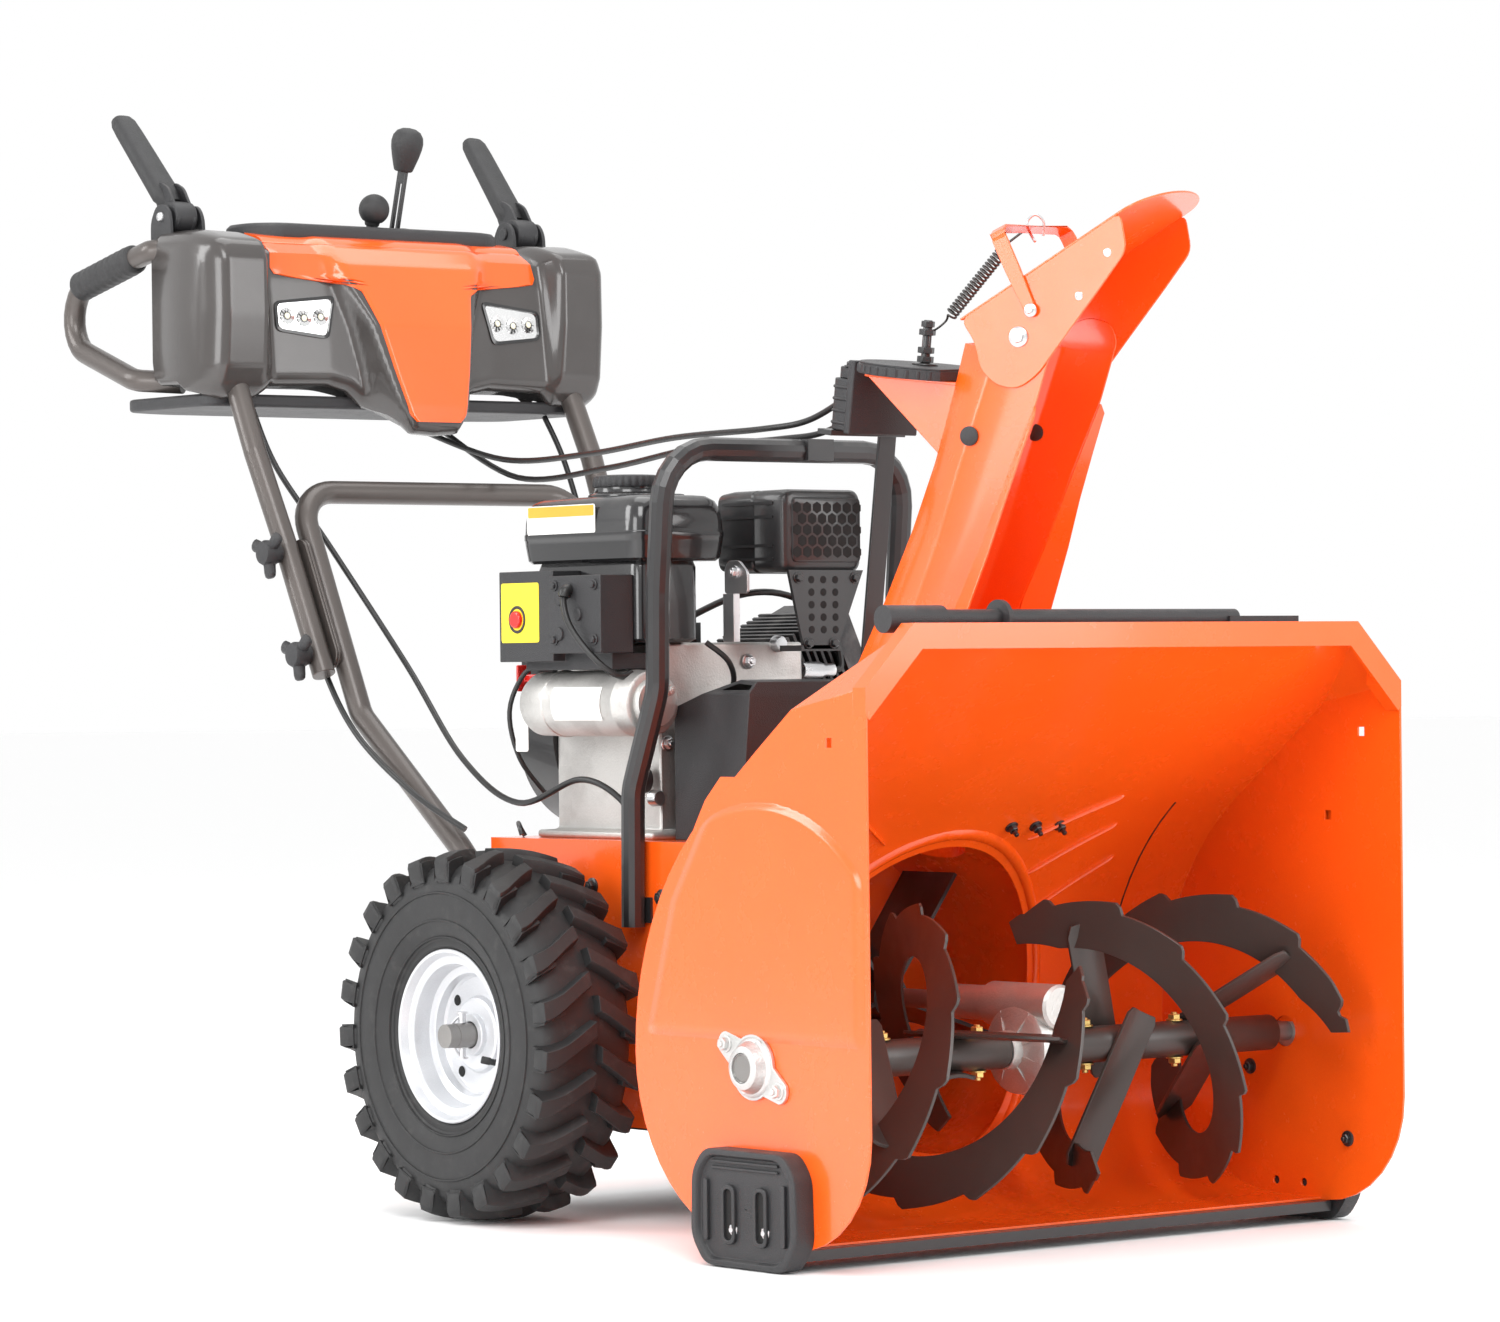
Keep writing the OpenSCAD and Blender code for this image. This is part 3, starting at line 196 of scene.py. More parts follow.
def surface(
    name,
    colour,
    rough=0.4,
    metal=0.0,
    coat=0.0,
    coat_rough=0.05,
    grain=0.0,
    grain_size=0.0006,
    waves=0.0,
    shade=0.12,
    dust=0.0,
    wear=None,
    brushed=None,
    extra=None,
    ior=1.5,
):
    """A material with drifting colour, smudges in its gloss, a fine grain, and dust or wear where asked."""
    made = bpy.data.materials.new(name)
    made.use_nodes = True
    tree = made.node_tree
    shader = tree.nodes["Principled BSDF"]
    base = Wire(tree)
    where = base.node("ShaderNodeTexCoord", output="Object")
    place = where
    if brushed:
        place = base.node("ShaderNodeMapping", {}, {"Vector": where, "Scale": brushed})

    def noise(scale, detail=3.0, roughness=0.5, vector=where):
        return base.node(
            "ShaderNodeTexNoise",
            {},
            {"Vector": vector, "Scale": scale, "Detail": detail, "Roughness": roughness},
        )

    drift = noise(7.0, 4.0)
    smudge = noise(38.0, 5.0, 0.62)
    fine = noise(1.0 / max(grain_size, 1e-5), 2.0, 0.6, place)
    tint = drift.ramp(0.3, 0.7).mix(rgba(colour, 1 - shade), rgba(colour, 1 + shade * 0.7))
    gloss = rough + (smudge - 0.5) * (rough * 0.5) + (drift - 0.5) * (rough * 0.3)
    if grain:
        tint = fine.ramp(0.25, 0.75).mix(tint, (fine.ramp(0.3, 0.9) * 0.6).mix(tint, rgba(colour, 1.35)))
    if wear:
        edge = base.node("ShaderNodeNewGeometry", output="Pointiness")
        patch = (edge + (smudge - 0.5) * 0.03).ramp(0.515, 0.56)
        tint = (patch * 0.8).mix(tint, rgba(wear))
        gloss = gloss + patch * 0.1
    if dust:
        up = base.node("ShaderNodeSeparateXYZ", {}, {0: base.node("ShaderNodeNewGeometry", output="Normal")}, 2)
        film = up.ramp(0.1, 1.0) * smudge.ramp(0.35, 0.8) * dust
        tint = film.mix(tint, (0.32, 0.3, 0.28, 1))
        gloss = gloss + film * 0.3
    height = fine * grain + (smudge * waves) if waves else fine * grain
    if extra:
        tint, gloss, height = extra(base, where, noise, tint, gloss, height)
    tree.links.new(tint.socket, shader.inputs["Base Color"])
    tree.links.new(gloss.math("MAXIMUM", 0.04).socket, shader.inputs["Roughness"])
    bump = base.node("ShaderNodeBump", {}, {"Height": height, "Strength": 0.6, "Distance": 0.0006})
    tree.links.new(bump.socket, shader.inputs["Normal"])
    shader.inputs["Metallic"].default_value = metal
    shader.inputs["Coat Weight"].default_value = coat
    shader.inputs["Coat Roughness"].default_value = coat_rough
    shader.inputs["IOR"].default_value = ior
    materials[name] = made
    return made


def tyre_look(base, where, noise, tint, gloss, height):
    ribs = noise(900.0, 2.0)
    scuff = noise(60.0, 6.0, 0.7).ramp(0.52, 0.75)
    tint = (scuff * 0.35).mix(tint, (0.075, 0.073, 0.07, 1))
    return tint, gloss + scuff * 0.08, height + ribs * 0.3


def cast_look(base, where, noise, tint, gloss, height):
    pits = base.node("ShaderNodeTexVoronoi", {}, {"Vector": where, "Scale": 420.0})
    skin = noise(160.0, 5.0, 0.7)
    stain = noise(22.0, 4.0).ramp(0.5, 0.72)
    tint = (stain * 0.3).mix(tint, (0.3, 0.29, 0.28, 1))
    return tint, gloss + stain * 0.12, height + pits * 0.5 + skin * 1.2


def moulded_look(base, where, noise, tint, gloss, height):
    cells = base.node("ShaderNodeTexVoronoi", {}, {"Vector": where, "Scale": 900.0})
    return tint, gloss + (cells - 0.4) * 0.12, height + cells * 0.8


ORANGE = (0.93, 0.105, 0.006)
surface("orange_paint", ORANGE, 0.26, coat=0.55, coat_rough=0.09, grain=0.05, grain_size=0.0012, waves=0.25,
        shade=0.035)
surface("orange_plastic", ORANGE, 0.2, coat=0.6, coat_rough=0.05, grain=0.02, waves=0.06, shade=0.03)
surface("black_steel", (0.018, 0.018, 0.019), 0.34, coat=0.25, grain=0.25, grain_size=0.0009, waves=0.1, dust=0.18,
        shade=0.2)
surface("black_plastic", (0.022, 0.022, 0.024), 0.46, grain=0.5, grain_size=0.0006, dust=0.15, shade=0.15,
        extra=moulded_look)
surface("gloss_black", (0.012, 0.012, 0.013), 0.2, coat=0.5, grain=0.05, waves=0.12, dust=0.12, shade=0.15)
surface("zinc_casting", (0.62, 0.62, 0.61), 0.36, metal=0.85, grain=0.3, grain_size=0.0008, extra=cast_look)
surface("cast_aluminium", (0.58, 0.57, 0.55), 0.42, metal=0.8, grain=0.4, grain_size=0.0007, dust=0.15,
        extra=cast_look)
surface("dark_casting", (0.035, 0.035, 0.037), 0.45, metal=0.4, grain=0.5, grain_size=0.0007, dust=0.3,
        extra=cast_look)
surface("zinc_steel", (0.62, 0.62, 0.63), 0.3, metal=0.95, grain=0.2, grain_size=0.0005, waves=0.1)
surface("bare_steel", (0.28, 0.27, 0.26), 0.42, metal=0.8, grain=0.3, grain_size=0.0006, brushed=(1, 8, 8),
        shade=0.2)
surface("spring_steel", (0.06, 0.058, 0.056), 0.35, metal=0.7, grain=0.2, shade=0.2)
surface("yellow_zinc", (0.66, 0.46, 0.16), 0.32, metal=0.9, grain=0.15, shade=0.25)
surface("auger_paint", (0.042, 0.031, 0.027), 0.4, coat=0.12, coat_rough=0.2, grain=0.25, grain_size=0.0008,
        waves=0.2, shade=0.15)
surface("rim_paint", (0.6, 0.61, 0.63), 0.34, metal=0.45, coat=0.2, grain=0.2, grain_size=0.0007, waves=0.1,
        shade=0.06)
surface("tyre", (0.014, 0.014, 0.0145), 0.55, grain=0.4, grain_size=0.0008, waves=0.3, shade=0.3, extra=tyre_look)
surface("handle_paint", (0.082, 0.07, 0.064), 0.36, metal=0.35, coat=0.3, coat_rough=0.12, grain=0.3,
        grain_size=0.0005, shade=0.08)
surface("console_plastic", (0.05, 0.045, 0.043), 0.22, coat=0.35, coat_rough=0.08, grain=0.06, grain_size=0.0005,
        waves=0.08, shade=0.08)
surface("red_plastic", (0.62, 0.012, 0.008), 0.28, coat=0.4, grain=0.1, shade=0.1)
surface("grip_rubber", (0.02, 0.02, 0.021), 0.5, grain=0.5, grain_size=0.0005, shade=0.2, extra=moulded_look)
surface("belt_rubber", (0.012, 0.012, 0.012), 0.6, grain=0.6, shade=0.2)
surface("cable_jacket", (0.012, 0.012, 0.012), 0.38, grain=0.15, shade=0.2)
surface("lens", (0.86, 0.88, 0.9), 0.08, grain=0.02, shade=0.02)
surface("reflector", (0.8, 0.8, 0.8), 0.16, metal=1.0, grain=0.1, shade=0.05)
surface("label_yellow", (0.85, 0.68, 0.03), 0.4, grain=0.1, shade=0.04)
surface("label_white", (0.74, 0.74, 0.72), 0.4, grain=0.1, shade=0.04)
surface("label_orange", (0.85, 0.33, 0.03), 0.4, grain=0.1, shade=0.04)
surface("lamp_cell", (0.88, 0.84, 0.62), 0.25, grain=0.1, shade=0.05)
# Near-black paint: painted shade for the dark inside of holes and slots, and the colour of the dark seam lines.
surface("dark_hole", (0.004, 0.004, 0.004), 0.8, grain=0.1, shade=0.2)
slot_material = dict(clear_lens="lens")


def material_for(slot):
    return materials[slot_material.get(slot, slot)]


# ---- making pieces ----
def smooth_edges(ob, angle=32):
    mesh = ob.data
    for p in mesh.polygons:
        p.use_smooth = True
    limit = radians(angle)
    bm = bmesh.new()
    bm.from_mesh(mesh)
    for e in bm.edges:
        e.smooth = len(e.link_faces) == 2 and e.calc_face_angle(0) < limit
    bm.to_mesh(mesh)
    bm.free()


def add_bevel(ob, width, segments=2, angle=32):
    mod = ob.modifiers.new("bevel", "BEVEL")
    mod.width, mod.segments, mod.limit_method = width / 1000, segments, "ANGLE"
    mod.angle_limit = radians(angle)
    mod.harden_normals = False
    mod.use_clamp_overlap = True


def piece(name, mesh, slot, body, replaces=(), material=None, angle=32, bevel=0, subdivide=0, solid=0):
    ob = mesh if isinstance(mesh, bpy.types.Object) else bpy.data.objects.new(name, mesh)
    ob.name = name
    if ob.name not in bpy.context.scene.collection.objects:
        bpy.context.scene.collection.objects.link(ob)
    ob.data.materials.clear()
    ob.data.materials.append(materials[material] if material else material_for(slot))
    if ob.type == "MESH":
        smooth_edges(ob, angle)
    if solid:
        mod = ob.modifiers.new("thickness", "SOLIDIFY")
        mod.thickness, mod.offset = solid / 1000, -1
    if bevel:
        add_bevel(ob, bevel, angle=angle)
    if subdivide:
        mod = ob.modifiers.new("subdivide", "SUBSURF")
        mod.levels = mod.render_levels = subdivide
    if body:
        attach(ob, body)
    if replaces:
        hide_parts(*([replaces] if isinstance(replaces, str) else replaces))
    return ob


def from_lists(name, points, faces):
    """A mesh from points in millimetres from the ground under the axle."""
    mesh = bpy.data.meshes.new(name)
    mesh.from_pydata([at(*p) for p in points], [], faces)
    mesh.validate()
    bm = bmesh.new()
    bm.from_mesh(mesh)
    bmesh.ops.recalc_face_normals(bm, faces=bm.faces)
    bm.to_mesh(mesh)
    bm.free()
    return mesh


class Build:
    """Collects points and faces of one piece, in millimetres."""

    def __init__(self):
        self.points, self.faces = [], []

    def grid(self, rows, wrap_u=False, wrap_v=False, cap=False):
        """A skin over rows of points; cap closes the first and last rows."""
        start, n, m = len(self.points), len(rows), len(rows[0])
        for row in rows:
            self.points += [tuple(p) for p in row]
        for i in range(n if wrap_u else n - 1):
            for k in range(m if wrap_v else m - 1):
                a, b = start + i * m, start + (i + 1) % n * m
                j = (k + 1) % m
                self.faces.append((a + k, b + k, b + j, a + j))
        if cap:
            self.faces.append(tuple(start + k for k in reversed(range(m))))
            self.faces.append(tuple(start + (n - 1) * m + k for k in range(m)))
        return self

    def prism(self, outline, depth, place):
        """An outline of (u, v) pushed from w = depth[0] to depth[1]; place turns u, v, w into a point."""
        rows = [[place(u, v, w) for u, v in outline] for w in depth]
        return self.grid(rows, wrap_v=True, cap=True)

    def revolve(self, profile, place, steps=64, closed=False):
        """profile of (radius, along); place turns (radius * cos, radius * sin, along) into a point."""
        rows = [
            [place(r * cos(t), r * sin(t), a) for r, a in profile]
            for t in (2 * pi * i / steps for i in range(steps))
        ]
        return self.grid(rows, wrap_u=True, wrap_v=closed)

    def tube(self, path, radius, sides=12, cap=True, ends=None):
        rows = rings(path, radius, sides)
        return self.grid(rows, wrap_v=True, cap=cap)

    def piece(self, name, slot, body, replaces=(), material=None, **shape):
        """Hands the shape in as a named piece."""
        return piece(name, from_lists(name, self.points, self.faces), slot, body, replaces, material, **shape)


def rings(path, radius, sides=12):
    path = [Vector(p) for p in path]
    radii = radius if isinstance(radius, (list, tuple)) else [radius] * len(path)
    rows, side = [], None
    for i, p in enumerate(path):
        t = (path[min(i + 1, len(path) - 1)] - path[max(i - 1, 0)]).normalized()
        if side is None:
            side = t.cross(Vector((1, 0, 0)) if abs(t.x) < 0.8 else Vector((0, 0, 1))).normalized()
        side = (side - side.dot(t) * t).normalized()
        other = t.cross(side)
        rows.append(
            [
                p + radii[i] * (cos(a) * side + sin(a) * other)
                for a in (2 * pi * k / sides for k in range(sides))
            ]
        )
    return rows


def smooth_path(points, steps=6):
    """A curve through every point."""
    p = [Vector(q) for q in points]
    out = []
    for i in range(len(p) - 1):
        a, b, c, d = p[max(i - 1, 0)], p[i], p[i + 1], p[min(i + 2, len(p) - 1)]
        for k in range(steps):
            t = k / steps
            out.append(
                0.5 * (2 * b + (c - a) * t + (2 * a - 5 * b + 4 * c - d) * t * t + (3 * b - a - 3 * c + d) * t**3)
            )
    return out + [p[-1]]


def bent_path(points, radius, steps=8):
    """Straight runs with round bends between them."""
    p = [Vector(q) for q in points]
    out = [p[0]]
    for i in range(1, len(p) - 1):
        u, w = (p[i - 1] - p[i]).normalized(), (p[i + 1] - p[i]).normalized()
        half = acos(max(-1, min(1, u.dot(w)))) / 2
        r = radius[i] if isinstance(radius, dict) else radius
        reach = r / tan(half)
        centre = p[i] + (u + w).normalized() * r / sin(half)
        first, last = p[i] + u * reach - centre, p[i] + w * reach - centre
        for k in range(steps + 1):
            s = k / steps
            angle = pi - 2 * half
            out.append(centre + (sin((1 - s) * angle) * first + sin(s * angle) * last) / sin(angle))
    return out + [p[-1]]


def rounded(points, radius, steps=4):
    """A closed outline with its corners rounded."""
    out, n = [], len(points)
    for i in range(n):
        p = Vector(points[i])
        u, w = (Vector(points[i - 1]) - p), (Vector(points[(i + 1) % n]) - p)
        reach = min(radius, u.length * 0.45, w.length * 0.45)
        a, b = p + u.normalized() * reach, p + w.normalized() * reach
        for k in range(steps + 1):
            s = k / steps
            out.append(tuple((1 - s) ** 2 * a + 2 * s * (1 - s) * p + s * s * b))
    return out


def rectangle(x0, y0, x1, y1, radius=0.0, steps=4):
    """A rectangle's outline, with rounded corners where a radius is given."""
    corners = [(x0, y0), (x1, y0), (x1, y1), (x0, y1)]
    return rounded(corners, radius, steps) if radius else corners


def arc(cx, cy, r, start, end, steps):
    return [
        (cx + r * cos(radians(start + (end - start) * k / steps)),
         cy + r * sin(radians(start + (end - start) * k / steps)))
        for k in range(steps + 1)
    ]


def along_x(x0, y, z, s=1):
    return lambda u, v, w: (x0 + s * w, y + u, z + v)


def along_y(x, y0, z, s=1):
    return lambda u, v, w: (x + u, y0 + s * w, z + v)


def along_z(x, y, z0):
    return lambda u, v, w: (x + u, y + v, z0 + w)


def upright(x=0, z=0):
    """Outlines stand in the plane of x and z, and depth runs along y."""
    return lambda u, v, w: (x + u, w, z + v)


def frame_on(origin, axis, turn=0.0):
    """A place function whose w runs along axis from origin."""
    axis = Vector(axis).normalized()
    side = axis.cross(Vector((0, 0, 1)) if abs(axis.z) < 0.9 else Vector((1, 0, 0))).normalized()
    other = axis.cross(side)
    c, s = cos(radians(turn)), sin(radians(turn))
    u_dir, v_dir = c * side + s * other, c * other - s * side
    return lambda u, v, w: Vector(origin) + u * u_dir + v * v_dir + w * axis


def hexagon(r):
    return [(r * cos(radians(60 * k)), r * sin(radians(60 * k))) for k in range(6)]


def bolt(build, origin, axis, head=6.5, height=5.0, washer=9.0, stub=0.0, turn=10):
    """A hex head on a washer."""
    place = frame_on(origin, axis, turn)
    build.revolve([(0.01, 0), (washer, 0), (washer, 1.4), (washer - 0.5, 1.8), (0.01, 1.8)], place, 24)
    top = 1.8 + height
    rows = [[place(u, v, w) for u, v in hexagon(r)] for r, w in
            ((head, 1.6), (head, top - 0.8), (head - 0.8, top), (0.05, top))]
    build.grid(rows, wrap_v=True)
    if stub:
        build.revolve([(head * 0.5, top - 0.5), (head * 0.5, top + stub - 0.6), (head * 0.5 - 0.6, top + stub),
                       (0.01, top + stub)], place, 16)
    return build


def copy_node(node, name, bevel=0.8, dissolve=1.0, merge=0.00002, segments=2):
    """A CAD node's own shape with its sheet edges rounded off."""
    source = nodes[node]
    mesh = source.data.copy()
    mesh.transform(source.matrix_world)
    bm = bmesh.new()
    bm.from_mesh(mesh)
    bmesh.ops.remove_doubles(bm, verts=bm.verts, dist=merge)
    if dissolve:
        bmesh.ops.dissolve_limit(bm, angle_limit=radians(dissolve), verts=bm.verts, edges=bm.edges)
    bm.to_mesh(mesh)
    bm.free()
    ob = piece(name, bpy.data.objects.new(name, mesh), slot_of[node], body_of[node], node, angle=30)
    if bevel:
        add_bevel(ob, bevel, segments, 34)
    return ob


# ---- floor and lights ----
floor_mesh = bpy.data.meshes.new("floor")
floor_mesh.from_pydata([(-60, -60, 0), (60, -60, 0), (60, 60, 0), (-60, 60, 0)], [], [(0, 1, 2, 3)])
floor = bpy.data.objects.new("floor", floor_mesh)
bpy.context.scene.collection.objects.link(floor)
floor_look = surface("floor_look", (0.98, 0.98, 0.98), 0.7, grain=0.01, shade=0.0)
floor.data.materials.append(floor_look)
floor.location.z = cad_low.z - 0.0005

world = bpy.data.worlds.new("studio")
bpy.context.scene.world = world
world.use_nodes = True
world.node_tree.nodes["Background"].inputs["Color"].default_value = (1, 1, 1, 1)
world.node_tree.nodes["Background"].inputs["Strength"].default_value = 1.0


def lamp(name, place, target, size, power, colour=(1, 1, 1)):
    data = bpy.data.lights.new(name, "AREA")
    data.shape, data.size, data.size_y = "RECTANGLE", size[0], size[1]
    data.energy, data.color = power, colour
    ob = bpy.data.objects.new(name, data)
    bpy.context.scene.collection.objects.link(ob)
    ob.location = place
    ob.rotation_euler = (Vector(target) - Vector(place)).to_track_quat("-Z", "Y").to_euler()


lamp("key_light", (-2.2, -2.6, 3.2), (0, 0, 0.5), (1.8, 1.8), 75)
lamp("front_light", (1.6, -3.4, 1.6), (0.1, -0.4, 0.4), (1.4, 2.2), 45)
lamp("rear_light", (-2.8, 1.8, 2.2), (0, 0.3, 0.6), (1.2, 1.8), 45)
lamp("side_light", (-4.2, -1.0, 1.3), (0, -0.5, 0.4), (1.8, 1.8), 60)
lamp("top_light", (0.4, 0.2, 3.4), (0, 0, 0.5), (2.4, 2.4), 40)
bpy.context.scene.view_settings.view_transform = "Standard"

# ---- wheels ----
TYRE_R, RIM_R, WHEEL_X, TYRE_W = 190.5, 89.0, 256.0, 63.5
WALL = [(RIM_R - 10, 40), (RIM_R - 1, 48), (RIM_R + 4, 52), (RIM_R + 9, 51.4), (RIM_R + 14, 54.5), (RIM_R + 24, 59),
        (RIM_R + 36, 61), (RIM_R + 50, 60.6), (RIM_R + 62, 59.3), (RIM_R + 74, 56.5), (RIM_R + 80, 52),
        (RIM_R + 85, 44), (RIM_R + 88, 30), (RIM_R + 89.5, 14), (RIM_R + 90, 0)]


def tread_height(across):
    """Radius of the tread between its lugs, at a distance from the middle of the tyre."""
    a = abs(across)
    return float(np.interp(a, [w for _, w in reversed(WALL[8:])], [r for r, _ in reversed(WALL[8:])]))


def lug(build, place, start, side, wide):
    """One bar of the tread: it starts near the middle, slants out to the shoulder and turns down the wall."""
    path = [(3, 0.0, 1.0), (14, 1.6, 1.0), (26, 3.6, 1.0), (38, 5.6, 1.05), (48, 7.0, 1.2), (56, 7.8, 1.3),
            (61, 8.0, 1.3)]
    rows = []
    for across, turn, width in path:
        top = TYRE_R - 1.2 * (across / 61) ** 3 * 6
        foot = min(tread_height(min(across, 56)), TYRE_R) - 5
        half = wide * width / 2 / TYRE_R
        rows.append((across, radians(turn) * 1.15 + start, half, foot, top))
    ring = []
    for across, angle, half, foot, top in rows:
        slope = 0.16 * half
        ring.append([
            place(r * cos(a), r * sin(a), side * across)
            for r, a in ((foot, angle - half - slope * 2), (top - 2.5, angle - half), (top, angle - half + slope),
                         (top, angle + half - slope), (top - 2.5, angle + half), (foot, angle + half + slope * 2))
        ])
    across, angle, half, foot, top = rows[-1]
    for drop, reach in ((14, 63.2), (26, 62.6), (34, 59)):
        r0 = TYRE_R - drop
        ring.append([
            place(r * cos(a), r * sin(a), side * w)
            for r, a, w in ((r0 - 6, angle - half, 56), (r0, angle - half, reach - 2),
                            (r0 + 1, angle - half * 0.8, reach),
                            (r0 + 1, angle + half * 0.8, reach), (r0, angle + half, reach - 2),
                            (r0 - 6, angle + half, 56))
        ])
    build.grid(ring, wrap_v=True, cap=True)


def wheel(side, label):
    place = along_x(side * WHEEL_X, 0, AXLE_Z, side)
    carcass = Build()
    profile = [(r, w) for r, w in WALL] + [(r, -w) for r, w in reversed(WALL[:-1])]
    inner = [(r - (6 if r > RIM_R + 60 else 2), w * 0.86) for r, w in profile[::-1]]
    rows = []
    for i in range(120):
        t = 2 * pi * i / 120
        rows.append([place(r * cos(t), r * sin(t), a) for r, a in profile + inner])
    carcass.grid(rows, wrap_u=True, wrap_v=True)
    for r, w, h in ((RIM_R + 12.5, 54.2, 1.2), (RIM_R + 30, 60.4, 0.9), (RIM_R + 58, 60.2, 1.0)):
        for face in (-1, 1):
            carcass.revolve([(r - 1.4, face * (w - 0.8)), (r - 0.7, face * (w + h)), (r + 0.7, face * (w + h)),
                             (r + 1.4, face * (w - 0.8))], place, 120)
    count = 23
    for k in range(count):
        for face in (-1, 1):
            start = 2 * pi * (k + (0.25 if face > 0 else -0.25)) / count
            lug(carcass, place, start, face, 17.5)
            middle = start + radians(9.2)
            block = []
            for across in (36, 44, 52, 60.5):
                top = TYRE_R - 1.5 - 5.5 * (across / 61) ** 3
                half = 4.4 / TYRE_R * (1 + 0.3 * (across - 36) / 25)
                foot = tread_height(min(across, 56)) - 5
                turn = radians(0.1 * (across - 36))
                block.append([place(r * cos(a), r * sin(a), face * across) for r, a in
                              ((foot, middle + turn - half * 1.4), (top - 4, middle + turn - half),
                               (top - 4, middle + turn + half), (foot, middle + turn + half * 1.4))])
            carcass.grid(block, wrap_v=True, cap=True)
    tyre = carcass.piece(f"tyre_{label}_tread", "tyre", "wheels", f"tyre_{label}", angle=28)
    add_bevel(tyre, 0.9, 1, 40)

    rim = Build()
    half = TYRE_W - 11.5
    dish = [(RIM_R - 0.3, half - 3.2), (RIM_R + 0.2, half - 1.0), (RIM_R - 0.8, half), (RIM_R - 3.2, half - 0.6),
            (RIM_R - 5, half - 4), (RIM_R - 7.5, half - 9.4), (RIM_R - 15, half - 9.8), (RIM_R - 15.6, half - 11),
            (RIM_R - 16.2, half - 20), (RIM_R - 18, half - 27), (RIM_R - 21, half - 28.4), (66, 23.4), (63.4, 22.2),
            (61.4, 14), (59, 11.4), (44, 10.6), (40, 11.4), (37.6, 17), (35, 18.4), (21.6, 18.6), (21.2, 19.4),
            (21, 23.6), (20.2, 24.4), (14.2, 24.4), (13.4, 23.6), (13.2, 6)]
    back = [(13.2, 6), (14, 4), (34, 14), (37, 9), (44, 7.6), (60, 8.4), (64, 19.4), (RIM_R - 19, 20),
            (RIM_R - 18, -half + 9), (RIM_R - 7, -half + 8), (RIM_R - 4, -half + 1), (RIM_R - 0.6, -half),
            (RIM_R - 0.6, -half + 3), (RIM_R - 14.6, -half + 12), (RIM_R - 14.6, half - 12), (RIM_R - 6, half - 8),
            (RIM_R - 0.3, half - 3.2)]
    rim.revolve(dish + back[1:-1], place, 96, closed=True)
    rim.piece(f"rim_{label}_dish", "rim_paint", "wheels", f"rim_{label}", angle=24)

    # Painted shade: flat near-black discs on the dish where its four holes are, in place of the shade seen through
    # them.
    trim = Build()
    for k in range(4):
        a = radians(90 * k + 40)
        spot = place(52 * cos(a), 52 * sin(a), 11)
        flat = frame_on(spot, (side, 0, 0))
        trim.revolve([(0.01, 0.3), (5.5, 0.3), (5.8, 0.2)], flat, 20)
    trim.piece(f"rim_{label}_hole_shade", "rim_paint", "wheels", material="dark_hole")

    valve = Build()
    a = radians(205 if side < 0 else 25)
    foot = Vector(place(68 * cos(a), 68 * sin(a), 20))
    tip = Vector(place(52 * cos(a), 52 * sin(a), 44))
    stem = frame_on(foot, tip - foot)
    valve.revolve([(5.5, 0), (5.5, 3), (3.6, 5), (3.3, 19), (3.9, 20), (3.9, 28), (3.3, 29), (0.01, 29)], stem, 20)
    valve.piece(f"valve_{label}", "tyre", "wheels", angle=40)

    pin = Build()
    for z in (-1, 1):
        head = frame_on((side * (WHEEL_X + 34), 0, AXLE_Z + z * 13), (0, 0, z))
        pin.revolve([(0.01, 0), (4, 0), (4, 9), (6, 9.2), (6, 11), (0.01, 11)], head, 20)
    loop = smooth_path([(side * (WHEEL_X + 34), 0, AXLE_Z + 22), (side * (WHEEL_X + 44), 4, AXLE_Z + 12),
                        (side * (WHEEL_X + 47), 3, AXLE_Z), (side * (WHEEL_X + 43), 0, AXLE_Z - 14),
                        (side * (WHEEL_X + 34), 0, AXLE_Z - 22)])
    pin.tube(loop, 1.5, 8)
    cap = along_x(side * (WHEEL_X + 36), 0, AXLE_Z, side)
    pin.revolve([(0.01, 8), (8, 8), (11.6, 7), (12.4, 5.4), (12.4, -6)], cap, 40)
    return pin


pins = [wheel(1, "left"), wheel(-1, "right")]
both = Build()
for p in pins:
    start = len(both.points)
    both.points += p.points
    both.faces += [tuple(start + k for k in f) for f in p.faces]
both.piece("wheel_pin_pair", "zinc_steel", "wheels", "wheel_pins", angle=40)

# ---- augers ----
AUGER_Y, AUGER_Z, AUGER_R, RIBBON = -550.0, 188.0, 150.0, 54.0


def saw(u):
    """Depth of the notches along a ribbon's rim: a sharp step in, then a ramp back out."""
    k = u % 1.0
    return 11.0 * (k / 0.07) if k < 0.07 else 11.0 * (1 - (k - 0.07) / 0.93) ** 0.75


